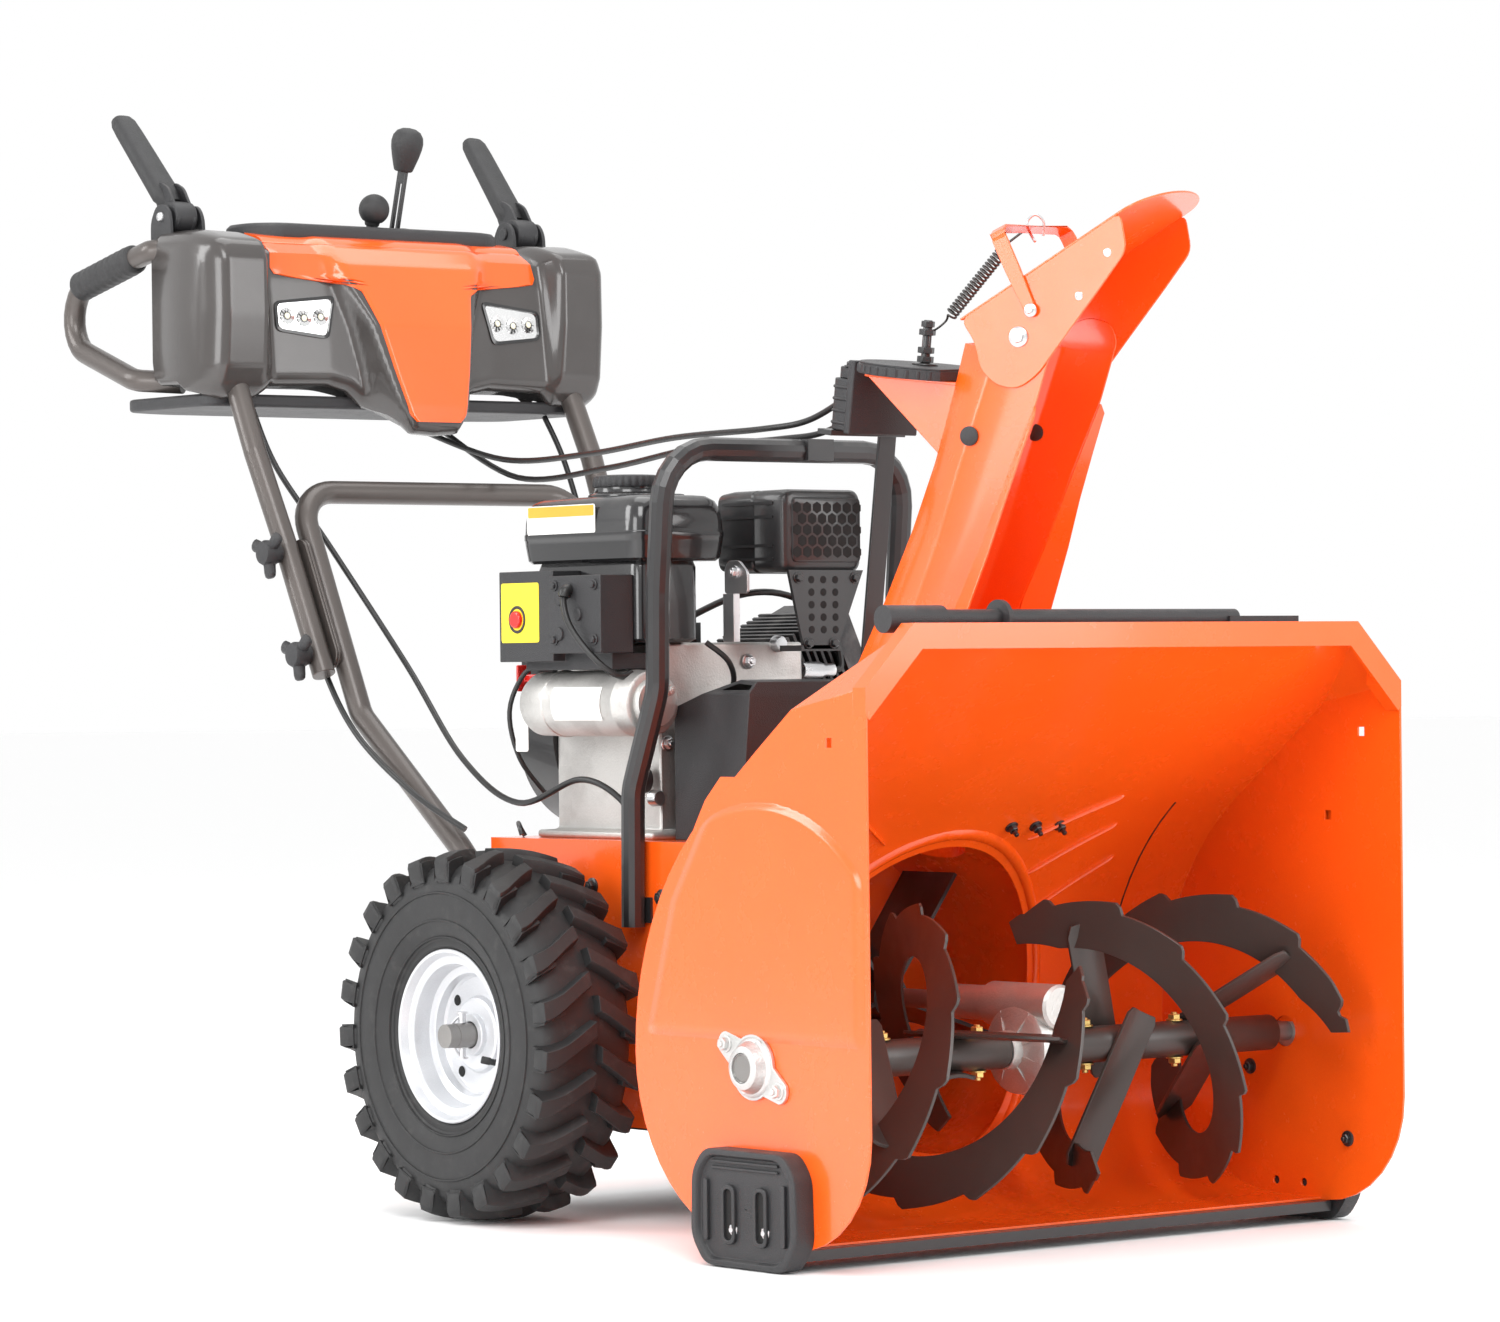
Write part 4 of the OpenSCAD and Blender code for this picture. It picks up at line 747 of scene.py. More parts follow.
def auger(side, label, start):
    flight = Build()
    x0, x1, turns, teeth = 30.0, 300.0, 0.82, 10

    def place(x, r, a):
        return side * x, AUGER_Y + r * cos(a), AUGER_Z + r * sin(a)

    for k in range(2):
        steps = teeth * 16
        rows = []
        for i in range(steps + 1):
            u = i / steps
            a = radians(start + 180 * k + 360 * turns * u)
            x = x0 + (x1 - x0) * u
            end = max(0.0, 1 - 14 * min(u, 1 - u))
            inner = AUGER_R - RIBBON + end * 16
            outer = AUGER_R - 0.6 - (saw(u * teeth + 0.4) if 0.02 < u < 0.98 else 3) - end * 10
            rows.append([place(x - 1.9, inner, a), place(x - 1.9, outer, a), place(x + 1.9, outer, a),
                         place(x + 1.9, inner, a)])
        flight.grid(rows, wrap_v=True, cap=True)
    ob = flight.piece(f"auger_{label}_ribbons", "auger_paint", "auger", f"auger_{label}", angle=25)
    add_bevel(ob, 0.5, 1, 40)
    bars = Build()
    for k in range(2):
        for share in (0.12, 0.88):
            xa, xb = x0 + 270 * (0.3 + 0.4 * share), x0 + 270 * share
            a = radians(start + 180 * k + 360 * turns * share)
            p, q = Vector(place(xa, -34, a)), Vector(place(xb, AUGER_R - RIBBON + 26, a))
            axis = (q - p).normalized()
            flat = Vector((0, cos(a + pi / 2), sin(a + pi / 2)))
            wide = axis.cross(flat).normalized()
            flat = axis.cross(wide)
            offset = flat * 21
            rows = []
            for s, w in ((0, 16), (0.04, 20), (0.5, 21), (0.94, 21), (1.0, 15)):
                c = p + (q - p) * s + offset * (1 - 0.6 * s)
                outline = [(-w, 3.2), (-w * 0.55, 0.4), (0, -0.6), (w * 0.55, 0.4), (w, 3.2), (w * 0.97, 6.6),
                           (w * 0.5, 4.2), (0, 3.4), (-w * 0.5, 4.2), (-w * 0.97, 6.6)]
                rows.append([c + wide * e + flat * (f - 2) for e, f in outline])
            bars.grid(rows, wrap_v=True, cap=True)
    ob = bars.piece(f"auger_{label}_bars", "auger_paint", "auger", angle=35)
    add_bevel(ob, 0.5, 1, 40)
    tube = Build()
    ends = along_x(0, AUGER_Y, AUGER_Z, side)
    tube.revolve([(9.8, 40), (17.4, 40), (18, 40.8), (18, 320 - 0.8), (17.4, 320), (9.8, 320)], ends, 40)
    for x in (132, 228):
        tube.revolve([(18, x - 4), (19.4, x - 2.2), (19.8, x), (19.4, x + 2.2), (18, x + 4)], ends, 40)
    tube.piece(f"auger_{label}_tube", "auger_paint", "auger", angle=40)


auger(1, "left", 62)
auger(-1, "right", 141)

shear = Build()
for side in (-1, 1):
    for x in (70, 190):
        bolt(shear, (side * x, AUGER_Y, AUGER_Z + 18), (0, 0, 1), 6.5, 5, 8.5, 2, 15)
        bolt(shear, (side * x, AUGER_Y, AUGER_Z - 18), (0, 0, -1), 6.5, 5, 8.5, 3, 40)
shear.piece("shear_bolt_heads", "yellow_zinc", "auger", "shear_bolts", angle=40)

box_body = Build()
place = along_x(0, AUGER_Y, AUGER_Z)
box_body.revolve([(10, -38), (18, -38), (19, -37), (19.4, -28), (24, -26), (38, -24), (43, -21), (44, -16),
                  (44, -4),
                  (47, -3), (47, 3), (44, 4), (44, 16), (43, 21), (38, 24), (24, 26), (19.4, 28), (19, 37),
                  (18, 38),
                  (10, 38)], place, 72)
for a in range(20, 380, 60):
    c, s = cos(radians(a)), sin(radians(a))
    ear = frame_on((-8, AUGER_Y + 43 * c, AUGER_Z + 43 * s), (1, 0, 0))
    box_body.revolve([(0.01, 0), (6.5, 0), (7.5, 1), (7.5, 15), (6.5, 16), (0.01, 16)], ear, 20)
    bolt(box_body, (-8, AUGER_Y + 43 * c, AUGER_Z + 43 * s), (-1, 0, 0), 4.6, 3.5, 6, 0, a)
neck = along_y(0, AUGER_Y - 44, 230)
box_body.revolve([(0.01, 0), (19, 0), (22, 2.5), (22, 98), (20, 100), (17.5, 101), (17, 156), (9.6, 156)], neck, 48)
for side in (-1, 1):
    for a in (-60, -20, 20, 60, 120, 160, 200, 240):
        c, s = cos(radians(a)), sin(radians(a))
        rows = []
        for r, x in ((19, 36), (19.5, 29), (26, 27.5), (42, 22.5)):
            rows.append([(side * (x - 6), AUGER_Y + r * c - 2 * s, AUGER_Z + r * s + 2 * c),
                         (side * x, AUGER_Y + r * c - 1.4 * s, AUGER_Z + r * s + 1.4 * c),
                         (side * x, AUGER_Y + r * c + 1.4 * s, AUGER_Z + r * s - 1.4 * c),
                         (side * (x - 6), AUGER_Y + r * c + 2 * s, AUGER_Z + r * s - 2 * c)])
        box_body.grid(rows, wrap_v=True, cap=True)
box_body.piece("gearbox_casting", "cast_aluminium", body_of["gearbox"], "gearbox", angle=35)
plug = Build()
bolt(plug, (0, AUGER_Y - 38, AUGER_Z + 16), (0, -1, 0.35), 6, 6, 8, 0, 0)
plug.piece("gearbox_plug", "yellow_zinc", body_of["gearbox"], angle=40)

# ---- console ----
NOSE_Z = [826, 860, 950, 1020, 1040, 1056]
NOSE_Y = [437, 441, 462, 494, 512, 544]
LAMP_Z = [826, 872, 900, 960, 1000, 1030, 1056]
LAMP_Y = [498, 487, 487, 493, 499, 506, 548]
LOBE_Z = [840, 866, 884, 900, 960, 1020, 1040, 1056]
LOBE_Y = [512, 499, 486, 479, 474, 475, 484, 520]


def nose_half(z):
    return float(np.interp(z, [826, 860, 950, 1000, 1040], [31, 42, 64, 84, 96]))


def console_y(x, z):
    """The console's front surface."""
    a = abs(x)
    nose = float(np.interp(z, NOSE_Z, NOSE_Y))
    lamp = float(np.interp(z, LAMP_Z, LAMP_Y)) + max(0.0, (a - 110)) * 0.02
    lobe = float(np.interp(z, LOBE_Z, LOBE_Y))
    half = nose_half(z)
    y = nose + (lamp - nose) * blend_at(a, half, half + 20)
    y = y + (lobe - y) * blend_at(a, 186, 204)
    if a > 250:
        y += 26 * ((a - 250) / 21) ** 2.2
    return y


def console_low(x):
    return float(np.interp(abs(x), [0, 30, 48, 84, 110, 186, 204, 245, 272],
                           [828, 830, 852, 878, 884, 882, 866, 864, 876]))


def console_high(x):
    return float(np.interp(abs(x), [0, 96, 150, 184, 200, 245, 262, 272],
                           [1041, 1043, 1044, 1043, 1049, 1050, 1046, 1034]))


def console_body():
    body = Build()
    rows = []
    for i in range(161):
        x = -272 + 544 * i / 160
        low, high = console_low(x), console_high(x)
        edge = max(0.0, (abs(x) - 256) / 16)
        front = []
        for k in range(37):
            z = low + (high - low) * k / 36
            round_low = max(0.0, 1 - (z - low) / 12) ** 2 * 10
            round_high = max(0.0, 1 - (high - z) / 14) ** 2 * 12
            front.append((x, console_y(x, z) + round_low + round_high, z))
        y_top = front[-1][1]
        back = 612 - 10 * edge**2
        rear = [(y_top + 12, high + 3), (y_top + 30, high + 5), (back - 14, high + 6), (back - 3, high + 2),
                (back, high - 10), (back, 910), (back - 4, 890), (back - 16, 884), (front[0][1] + 24, low + 8),
                (front[0][1] + 8, low - 1)]
        rows.append(front + [(x, y, z) for y, z in rear])
    body.grid(rows, wrap_v=True, cap=True)
    ob = body.piece("console_shell", "console_plastic", "upper_handle", "console", angle=50)
    add_bevel(ob, 3, 2, 50)
    return ob


console_body()


def skin(name, outline, lift, depth, slot, body, material=None, steps=1, bevel=0.8, replaces=()):
    """A panel that lies on the console's front; outline gives its left and right edges at each height."""
    made = Build()
    front, back = [], []
    for z, left, right in outline:
        row, under = [], []
        for k in range(49):
            x = left + (right - left) * k / 48
            edge = min(k, 48 - k) / 48 * (right - left)
            sink = max(0.0, 1 - edge / 3.0) ** 2 * 1.4
            y = console_y(x, z)
            row.append((x, y - lift + sink, z))
            under.append((x, y + depth, z))
        front.append(row)
        back.append(under)
    rows = [f + b[::-1] for f, b in zip(front, back)]
    made.grid(rows, wrap_v=True, cap=True)
    return made.piece(name, slot, body, replaces, material, angle=38, bevel=bevel)


panel = []
for z in np.linspace(842, 1043, 60):
    half = float(np.interp(z, [842, 850, 900, 950, 988, 996, 1004, 1012, 1043],
                           [30, 38, 51, 62, 74, 92, 176, 181, 176]))
    panel.append((float(z), -half, half))
skin("console_centre_panel", panel, 2.2, 3, "orange_plastic", body_of["console_panel"], bevel=0,
     replaces="console_panel")
crest = Build()
rows = []
for i in range(61):
    x = -176 + 352 * i / 60
    rows.append([(x, console_y(x, 1042) + dy, 1042 + dz) for dy, dz in
                 ((-2.2, 0), (4, 5.5), (14, 9), (34, 13), (34, 8), (10, 4), (0, -1))])
crest.grid(rows, wrap_v=True, cap=True)
crest.piece("console_top_panel", "orange_plastic", "upper_handle", angle=40)

tray = Build()
rows = []
for z, shrink in ((1046, 4), (1050, 0), (1062, 1), (1066, 5), (1067, 12)):
    outline = rounded([(-150, 538), (150, 538), (176, 566), (176, 612), (-176, 612), (-176, 566)], 22, 5)
    rows.append([(x * (1 - shrink / 176), 575 + (y - 575) * (1 - shrink / 60), z) for x, y in outline])
tray.grid(rows, wrap_v=True, cap=True)
for x in (0, 40):
    tray.prism(rectangle(-9, -26, 9, 26, 8, 4), (1066.4, 1068.4), lambda u, v, w, x=x: (x + u, 582 + v, w))
tray.piece("console_dash", "black_plastic", "upper_handle", angle=40, bevel=1)
# Painted shade: near-black plates inside the dash's two slots, standing in for the shade down in them.
slot_shade = Build()
for x in (0, 40):
    slot_shade.prism(rectangle(-5, -23, 5, 23, 5, 4), (1068.2, 1068.8), lambda u, v, w, x=x: (x + u, 582 + v, w))
slot_shade.piece("console_slots", "black_plastic", "upper_handle", material="dark_hole")

for side, label in SIDES:
    bezel, glass, back, cells, rings_ = Build(), Build(), Build(), Build(), Build()
    outline = [(100, 984), (181, 975), (181, 942), (112, 934)]

    def on(u, v, w, side=side):
        return side * u, console_y(u, v) - w, v

    outer = rounded(outline, 8, 4)
    cx, cz = 143, 959
    inner = [(cx + (u - cx) * 0.92, cz + (v - cz) * 0.84) for u, v in outer]
    rows = [[on(u, v, w) for u, v in loop] for loop, w in ((outer, -2), (outer, 2.0), (inner, 2.6), (inner, 0.6))]
    bezel.grid(rows, wrap_v=True)
    bezel.piece(f"lamp_bezel_{label}", "gloss_black", "upper_handle", angle=40)
    back_rows = [[on(cx + (u - cx) * s, cz + (v - cz) * s, 0.5) for u, v in inner] for s in (1.0, 0.02)]
    back.grid(back_rows, wrap_v=True)
    for k in range(3):
        u, v = 121 + 22 * k, 957 + (2 if k != 1 else 0)
        for step in range(10):
            a0, a1 = 36 * step, 36 * step + 30
            pts = [(u + r * cos(radians(a)), v + r * sin(radians(a)), w)
                   for r, a, w in ((9.5, a0, 2.4), (9.5, a1, 1.2), (3.5, a1, 0.6), (3.5, a0, 1.4))]
            start = len(back.points)
            back.points += [on(*p) for p in pts]
            back.faces.append((start, start + 1, start + 2, start + 3))
        cells.revolve([(0.01, 1.9), (2.8, 1.7), (3.5, 0.9)], lambda p, q, w, u=u, v=v: on(u + p, v + q, w), 20)
        rings_.revolve([(3.7, 0.7), (4.3, 1.9), (5.0, 0.7)], lambda p, q, w, u=u, v=v: on(u + p, v + q, w), 20)
    back.piece(f"lamp_reflector_{label}", "clear_lens", "upper_handle",
          "headlights" if side > 0 else (), material="reflector", angle=10)
    cells.piece(f"lamp_cells_{label}", "clear_lens", "upper_handle", material="lamp_cell")
    rings_.piece(f"lamp_rings_{label}", "clear_lens", "upper_handle", material="gloss_black")

under = Build()
under.prism(rounded([(-262, 506), (262, 506), (262, 680), (200, 704), (-200, 704), (-262, 680)], 24, 5), (858, 872),
            lambda u, v, w: (u, v, w))
under.piece("console_tray", "black_plastic", "upper_handle", angle=40, bevel=3)

# ---- handles ----
TUBE = 12.7


def tube_piece(name, path, radius, slot, body, replaces=(), sides=20, material=None):
    made = Build().tube(path, radius, sides)
    return made.piece(name, slot, body, replaces, material, angle=50, bevel=0.6)


LOWER_X, UPPER_X, PLATE_X = 190.0, 230.0, 207.1
FRAME_X, GAP = 145.0, 0.4
lower_line = [(-FRAME_X - TUBE - GAP, 96, 296), (-FRAME_X - TUBE - GAP - 8, 176, 378), (-LOWER_X, 321, 517),
              (-LOWER_X, 440, 762), (LOWER_X, 440, 762), (LOWER_X, 321, 517), (FRAME_X + TUBE + GAP + 8, 176, 378),
              (FRAME_X + TUBE + GAP, 96, 296)]
tube_piece("lower_handle_tube", bent_path(lower_line, 45, 10), TUBE, "handle_paint", "chassis", "lower_handle", 28)
upper_line = [(PLATE_X + 4 + TUBE, 342, 561), (PLATE_X + 4 + TUBE, 412, 700), (UPPER_X, 462, 806),
              (UPPER_X - 2, 506, 892), (UPPER_X - 6, 530, 930)]
for side, label in SIDES:
    path = [(side * x, y, z) for x, y, z in bent_path(upper_line, 40, 8)]
    tube_piece(f"upper_handle_{label}", path, TUBE, "handle_paint", "upper_handle",
               "upper_handle" if side > 0 else (), 28)
    plates = Build()
    fold, latch = (353, 583), (408, 694)
    turn = degrees(atan2(latch[1] - fold[1], latch[0] - fold[0]))
    outline = arc(*latch, 15, turn - 90, turn + 90, 12) + arc(*fold, 15, turn + 90, turn + 270, 12)
    plates.prism(outline, (203.2, 206.7), lambda u, v, w, s=side: (s * w, u, v))
    plates.piece(f"lower_plate_{label}", "handle_paint", "chassis", angle=40, bevel=0.8)
    plates = Build()
    plates.prism(outline, (207.1, 210.1), lambda u, v, w, s=side: (s * w, u, v))
    plates.piece(f"upper_plate_{label}", "handle_paint", "upper_handle", angle=40, bevel=0.8)
    knobs = Build()
    for y, z in (fold, latch):
        x = PLATE_X + 4 + 2 * TUBE
        place = along_x(side * x, y, z, side)
        knobs.revolve([(0.01, 0), (10, 0), (11, 1), (11, 4), (13, 6), (14, 10), (14, 18), (12, 22), (6, 23),
                       (0.01, 23)],
                      place, 36)
        for k in range(3):
            a = radians(120 * k + 20)
            rows = []
            for reach, half, top, low in ((8, 6, 21, 6), (16, 6, 20.4, 7), (22, 7.4, 20, 8), (26, 7.2, 19, 9),
                                          (28, 4.5, 17, 11)):
                ring = []
                for e in range(12):
                    t = 2 * pi * e / 12
                    u, w = half * cos(t), (top + low) / 2 + (top - low) / 2 * sin(t)
                    ring.append(place(reach * cos(a) - u * sin(a), reach * sin(a) + u * cos(a), w))
                rows.append(ring)
            knobs.grid(rows, wrap_v=True, cap=True)
    knobs.piece(f"star_knobs_{label}", "black_plastic", "upper_handle",
          "handle_knobs" if side > 0 else (), angle=50)

    # loop handle, with its grip
    loop = [(side * x, y, z) for x, y, z in bent_path(
        [(248, 585, 1034), (270, 606, 1034), (270, 811 - TUBE + 22, 992), (270, 751, 930), (270, 642, 892),
         (236, 596, 888)],
        {1: 14, 2: 44, 3: 40, 4: 30}, 9)]
    tube_piece(f"loop_{label}", loop, TUBE - 0.3, "handle_paint", "upper_handle",
               "loop_handles" if side > 0 else (), 24)
    a, b = Vector((side * 270, 636, 1028)), Vector((side * 270, 757, 1002.6))
    grip = []
    sizes = []
    for k in range(61):
        s = k / 60
        grip.append(a + (b - a) * s)
        ribs = 0.5 * (sin(s * 62) > 0.2)
        sizes.append(min(16.4, 13 + 4 * min(1, s * 20), 13 + 4 * min(1, (1 - s) * 20)) + ribs)
    tube_piece(f"grip_{label}", grip, sizes, "grip_rubber", "upper_handle", sides=28)

    # squeeze lever: a rounded paddle on a forked hub
    body = "drive_lever" if side > 0 else "auger_lever"
    pivot, tip = Vector((235, 603, 1072)), Vector((243, 712, 1192))
    lever = Build()
    axis = (tip - pivot).normalized()
    face = Vector((0, axis.z, -axis.y)).normalized()
    across = axis.cross(face).normalized()
    rows = []
    length = (tip - pivot).length
    for s, half, thick in ((20, 11, 9), (30, 15.5, 10.5), (34, 17.5, 11), (60, 17.2, 10.4), (100, 16.6, 10),
                           (135, 16, 9.6),
                           (length - 12, 15.2, 9), (length - 5, 12.6, 7.4), (length - 1.4, 8, 4.6),
                           (length - 0.2, 3, 2)):
        ring = []
        for k in range(24):
            t = 2 * pi * k / 24
            c, q = cos(t), sin(t)
            u = half * copysign(abs(c) ** 0.7, c)
            v = thick * copysign(abs(q) ** 0.8, q)
            p = pivot + axis * s + across * u + face * (v - 1)
            ring.append((side * p.x, p.y, p.z))
        rows.append(ring)
    lever.grid(rows, wrap_v=True, cap=True)
    lever.piece(f"{body}_paddle", "grip_rubber", body, body, angle=50)
    hub = Build()
    hub_place = along_x(side * pivot.x, pivot.y, pivot.z, side)
    hub.revolve([(0.01, -20), (9, -20), (10, -19), (10, -15), (17, -14), (18, -12), (18, 12), (17, 14), (10, 15),
                 (10, 19),
                 (9, 20), (0.01, 20)], hub_place, 36)
    for off in (-1, 1):
        outline = [(16, -8), (6, -17), (-12, -16), (-20, -2), (4, 34), (22, 42), (34, 30)]
        hub.prism(rounded(outline, 6, 3), (off * 10 - 1.8, off * 10 + 1.8), hub_place)
    hub.piece(f"{body}_hub", "black_plastic", body, angle=45, bevel=0.8)
    mount = Build()
    for off in (-21, 21):
        outline = rounded([(-20, -34), (22, -34), (22, -4), (10, 14), (-8, 14), (-18, 0)], 8, 3)
        mount.prism(outline, (off - 2.2, off + 2.2), hub_place)
    mount.revolve([(0.01, -26), (6, -26), (7, -25), (7, -23), (0.01, -23)], hub_place, 24)
    mount.piece(f"lever_mount_{label}", "black_plastic", "upper_handle", angle=45, bevel=0.8)
    rivet = Build()
    rivet.revolve([(0.01, 27.6), (3.6, 27.2), (5.4, 25.6), (5.6, 23), (0.01, 23)], hub_place, 24)
    rivet.piece(f"lever_rivet_{label}", "zinc_steel", "upper_handle", angle=60)

# ---- console sticks ----
def stick(body, x, y, length, profile, node):
    base, lean = Vector((x, y, 1030)), radians(16)
    axis = Vector((0, -sin(lean), cos(lean)))
    side = Vector((0, cos(lean), sin(lean)))

    def place(u, v, w):
        return base + Vector((1, 0, 0)) * u + side * v + axis * w

    shaft = Build()
    for lo, hi in ((-8, -3.4), (3.4, 8)):
        shaft.prism(rectangle(-2, lo, 2, hi), (4, length + 4), place)
    for lo, hi in ((4, 40), (length - 14, length + 4)):
        shaft.prism(rectangle(-2, -4, 2, 4), (lo, hi), place)
    shaft.piece(f"{body}_shaft", "black_steel", body, node, angle=30, bevel=0.5)
    knob = Build()
    knob.revolve([(r, w + length) for r, w in profile], place, 36)
    knob.piece(f"{body}_knob", "grip_rubber", body, angle=60)


pear = [(0.01, 0), (9, 0), (10.5, 1), (11.5, 4), (15.5, 20), (17.8, 32), (18.4, 40), (17.2, 48), (13.5, 54.5),
        (8, 58), (0.01, 59.5)]
ball = [(0.01, -2), (7, -2), (8, -1), (9, 3)] + [(17.5 * cos(radians(a)), 17 + 17.5 * sin(radians(a)))
                                                for a in range(-50, 90, 10)] + [(0.01, 34.5)]
stick("chute_lever", 40, 590, 108, [(r, w * 0.84) for r, w in pear], "chute_lever")
stick("speed_lever", 0, 578, 44, ball, "speed_lever")

# ---- chute ----
CHUTE_BASE = Vector((0, -335, 395))
LEAN, TURN, HALF = radians(8), radians(24), 78.0
turning = Matrix.Rotation(LEAN, 3, "X") @ Matrix.Rotation(TURN, 3, "Z")
CHUTE_ACROSS, CHUTE_UP = turning @ Vector((1, 0, 0)), turning @ Vector((0, 0, 1))


def chute_at(x, s, h):
    """A point of the chute: x across it, s forward, h up along its turning axis."""
    return CHUTE_BASE + turning @ Vector((x, -s, h))


RINGS = [(40, -78, -38, 52), (100, -60, -14, 62), (170, -30, 18, 76), (240, -4, 46, 91), (310, 19, 66, 116),
         (380, 38, 82, 137), (450, 52, 100, 160), (498, 60, 112, 170), (514, 63, 115, 172), (528, 66, 118, 168)]


def ring_value(h, k):
    return float(np.interp(h, [r[0] for r in RINGS], [r[k] for r in RINGS]))


def chute_shell():
    rows = []
    heights = [40, 44] + list(np.linspace(56, 496, 56)) + [500]
    t = 2.0
    for h in heights:
        back, bevel, front = (ring_value(h, k) for k in (1, 2, 3))
        outer = [(-HALF, front), (-HALF, front - 14), (-HALF, bevel + 5), (-HALF + 1.5, bevel - 2), (-40, back + 1),
                 (-35, back - 0.2), (35, back - 0.2), (40, back + 1), (HALF - 1.5, bevel - 2), (HALF, bevel + 5),
                 (HALF, front - 14), (HALF, front)]
        inner = [(HALF - t, front), (HALF - t, front - 14), (HALF - t, bevel + 6), (HALF - 3.2, bevel),
                 (39, back + 3),
                 (34, back + t), (-34, back + t), (-39, back + 3), (-HALF + 3.2, bevel), (-HALF + t, bevel + 6),
                 (-HALF + t, front - 14), (-HALF + t, front)]
        rows.append([chute_at(x, s, h) for x, s in outer + inner])
    made = Build().grid(rows, wrap_v=True, cap=True)
    for side in (-1, 1):
        cheek = rounded([(112, 498), (171, 498), (172, 512), (164, 528), (140, 532), (118, 522)], 9, 4)
        made.prism(cheek, (0, t), lambda s, h, w, side=side: chute_at(side * (HALF - w), s, h))
    ring_place = frame_on(chute_at(0, 0, 34.6), CHUTE_UP)
    made.revolve([(72, 0), (96.6, 0), (98, 1), (98, 5), (96.6, 6), (74, 6), (72.6, 5)], ring_place, 72, closed=True)
    for side in (-1, 1):
        rows = []
        for h, reach in [(60, 22), (110, 30), (180, 34), (246, 33), (300, 25), (350, 18), (400, 13), (438, 9),
                         (447, 2)]:
            front = ring_value(h, 3)
            out = reach * 0.72
            edge = [(side * (HALF - 0.2), front - 1.5), (side * (HALF + out), front - 1.5 + out),
                    (side * (HALF + out - 1.4), front + 0.2 + out), (side * (HALF - 2), front + 0.6)]
            rows.append([chute_at(x, s, h) for x, s in edge])
        made.grid(rows, wrap_v=True, cap=True)
    for x in (-33, 31):
        made.prism([(-48, 459), (56, 459), (40.5, 386)], (x, x + 2), lambda s, h, w: chute_at(w, s, h))
    made.prism(rectangle(-35, -50, 35, 55, 4, 3), (457, 460), chute_at)
    ob = made.piece("chute_channel", "orange_paint", "chute", "chute", angle=34)
    add_bevel(ob, 0.7, 2, 40)


chute_shell()

details = Build()
for x, s, h in ((HALF, 92, 412), (-HALF, 92, 412), (HALF, 60, 200), (-HALF, 60, 200)):
    side = 1 if x > 0 else -1
    place = frame_on(chute_at(x - side * 3, s, h), side * CHUTE_ACROSS)
    details.revolve([(0.01, -1.6), (6.5, -1.6), (8.5, -0.8), (8.5, 0.4), (8.5, 3.4), (9.6, 3.6), (9.6, 5.2),
                     (8, 6.2), (0.01, 6.6)],
                    place, 28)
details.piece("chute_plugs", "black_plastic", "chute", angle=40)

# hood
HOOD_X, HOOD_S, HOOD_H = HALF + 0.4, 137.0, 513.0
SLOPE = atan2(642 - 524, 233 - 73)
hood = Build()
side_outline = rounded([(73, 524), (90, 504), (98, 478), (116, 464), (140, 462), (160, 478), (182, 512), (217, 565),
                        (243, 606), (233, 642)], 10, 4)
for side in (-1, 1):
    hood.prism(side_outline, (0, 2), lambda s, h, w, side=side: chute_at(side * (HOOD_X + w), s, h))
wide = HOOD_X + 2.2
plan = [(-wide, 0), (wide, 0)] + [(wide * cos(radians(a)), 198 + 40 * sin(radians(a)) ** 0.9)
                                  for a in range(0, 181, 9)]


def hood_top(u, v, w):
    return chute_at(u, 73.4 + v * cos(SLOPE) - w * sin(SLOPE), 523.2 + v * sin(SLOPE) + w * cos(SLOPE))


hood.prism(plan, (0, 2.2), hood_top)
ob = hood.piece("hood_shell", "orange_paint", "deflector", "deflector", angle=34)
add_bevel(ob, 0.8, 2, 40)
strap = Build()
rows = []
down = Vector((149.5 - 103.5, 537.5 - 616.0)).normalized()
cross = Vector((-down.y, down.x))
reach, strap_half, strap_tip, strap_t = HOOD_X + 3.8, 8, 6, 1.5
leg = [(reach, 149.5, 538), (reach, 126, 577), (reach, 109, 606), (reach - 2, 105.5, 612),
       (reach - 10, 103.6, 615.4)]
path = [(-x, s, h) for x, s, h in leg] + leg[::-1]
for i, (x, s, h) in enumerate(path):
    side = -1 if x < 0 else 1
    half = strap_tip if i in (0, len(path) - 1) else strap_half
    if i <= 2 or i >= 7:  # the legs, flat against the hood's sides
        out, lift = 1.0, 0.0
    elif i in (3, 6):  # the corners
        out, lift = side * 0.7, side * 0.7
    else:  # the bar
        out, lift = 0.0, side * 1.0
    rows.append([chute_at(x + out * strap_t * q, s + cross.x * b * half + down.x * lift * strap_t * q,
                          h + cross.y * b * half + down.y * lift * strap_t * q)
                 for q, b in ((1, 1), (-1, 1), (-1, -1), (1, -1))])
strap.grid(rows, wrap_v=True, cap=True)
strap.piece("hood_strap", "orange_paint", "deflector", angle=30, bevel=0.6)
hook = Build()
hook.tube(smooth_path([chute_at(-6, 112, 604), chute_at(-2, 104, 612), chute_at(2, 98, 622), chute_at(6, 104, 630),
                       chute_at(10, 112, 624), chute_at(12, 112, 610)]), 1.4, 8)
for side in (-1, 1):
    for s, h, r in ((HOOD_S, HOOD_H, 8), (197, 558, 3.4), (223, 602, 3.4), (149, 540, 4.6)):
        place = frame_on(chute_at(side * (HOOD_X + 2), s, h), side * CHUTE_ACROSS)
        if r > 4:
            bolt(hook, chute_at(side * (HOOD_X + (2 if r > 5 else 5.3)), s, h), side * CHUTE_ACROSS, r * 0.8, 3.6,
                 r + 2, 0, 12)
        else:
            hook.revolve([(0.01, 0.6), (r, 0.4), (r + 0.8, 0)], place, 16)
hook.piece("hood_fasteners", "zinc_steel", "deflector", angle=40)

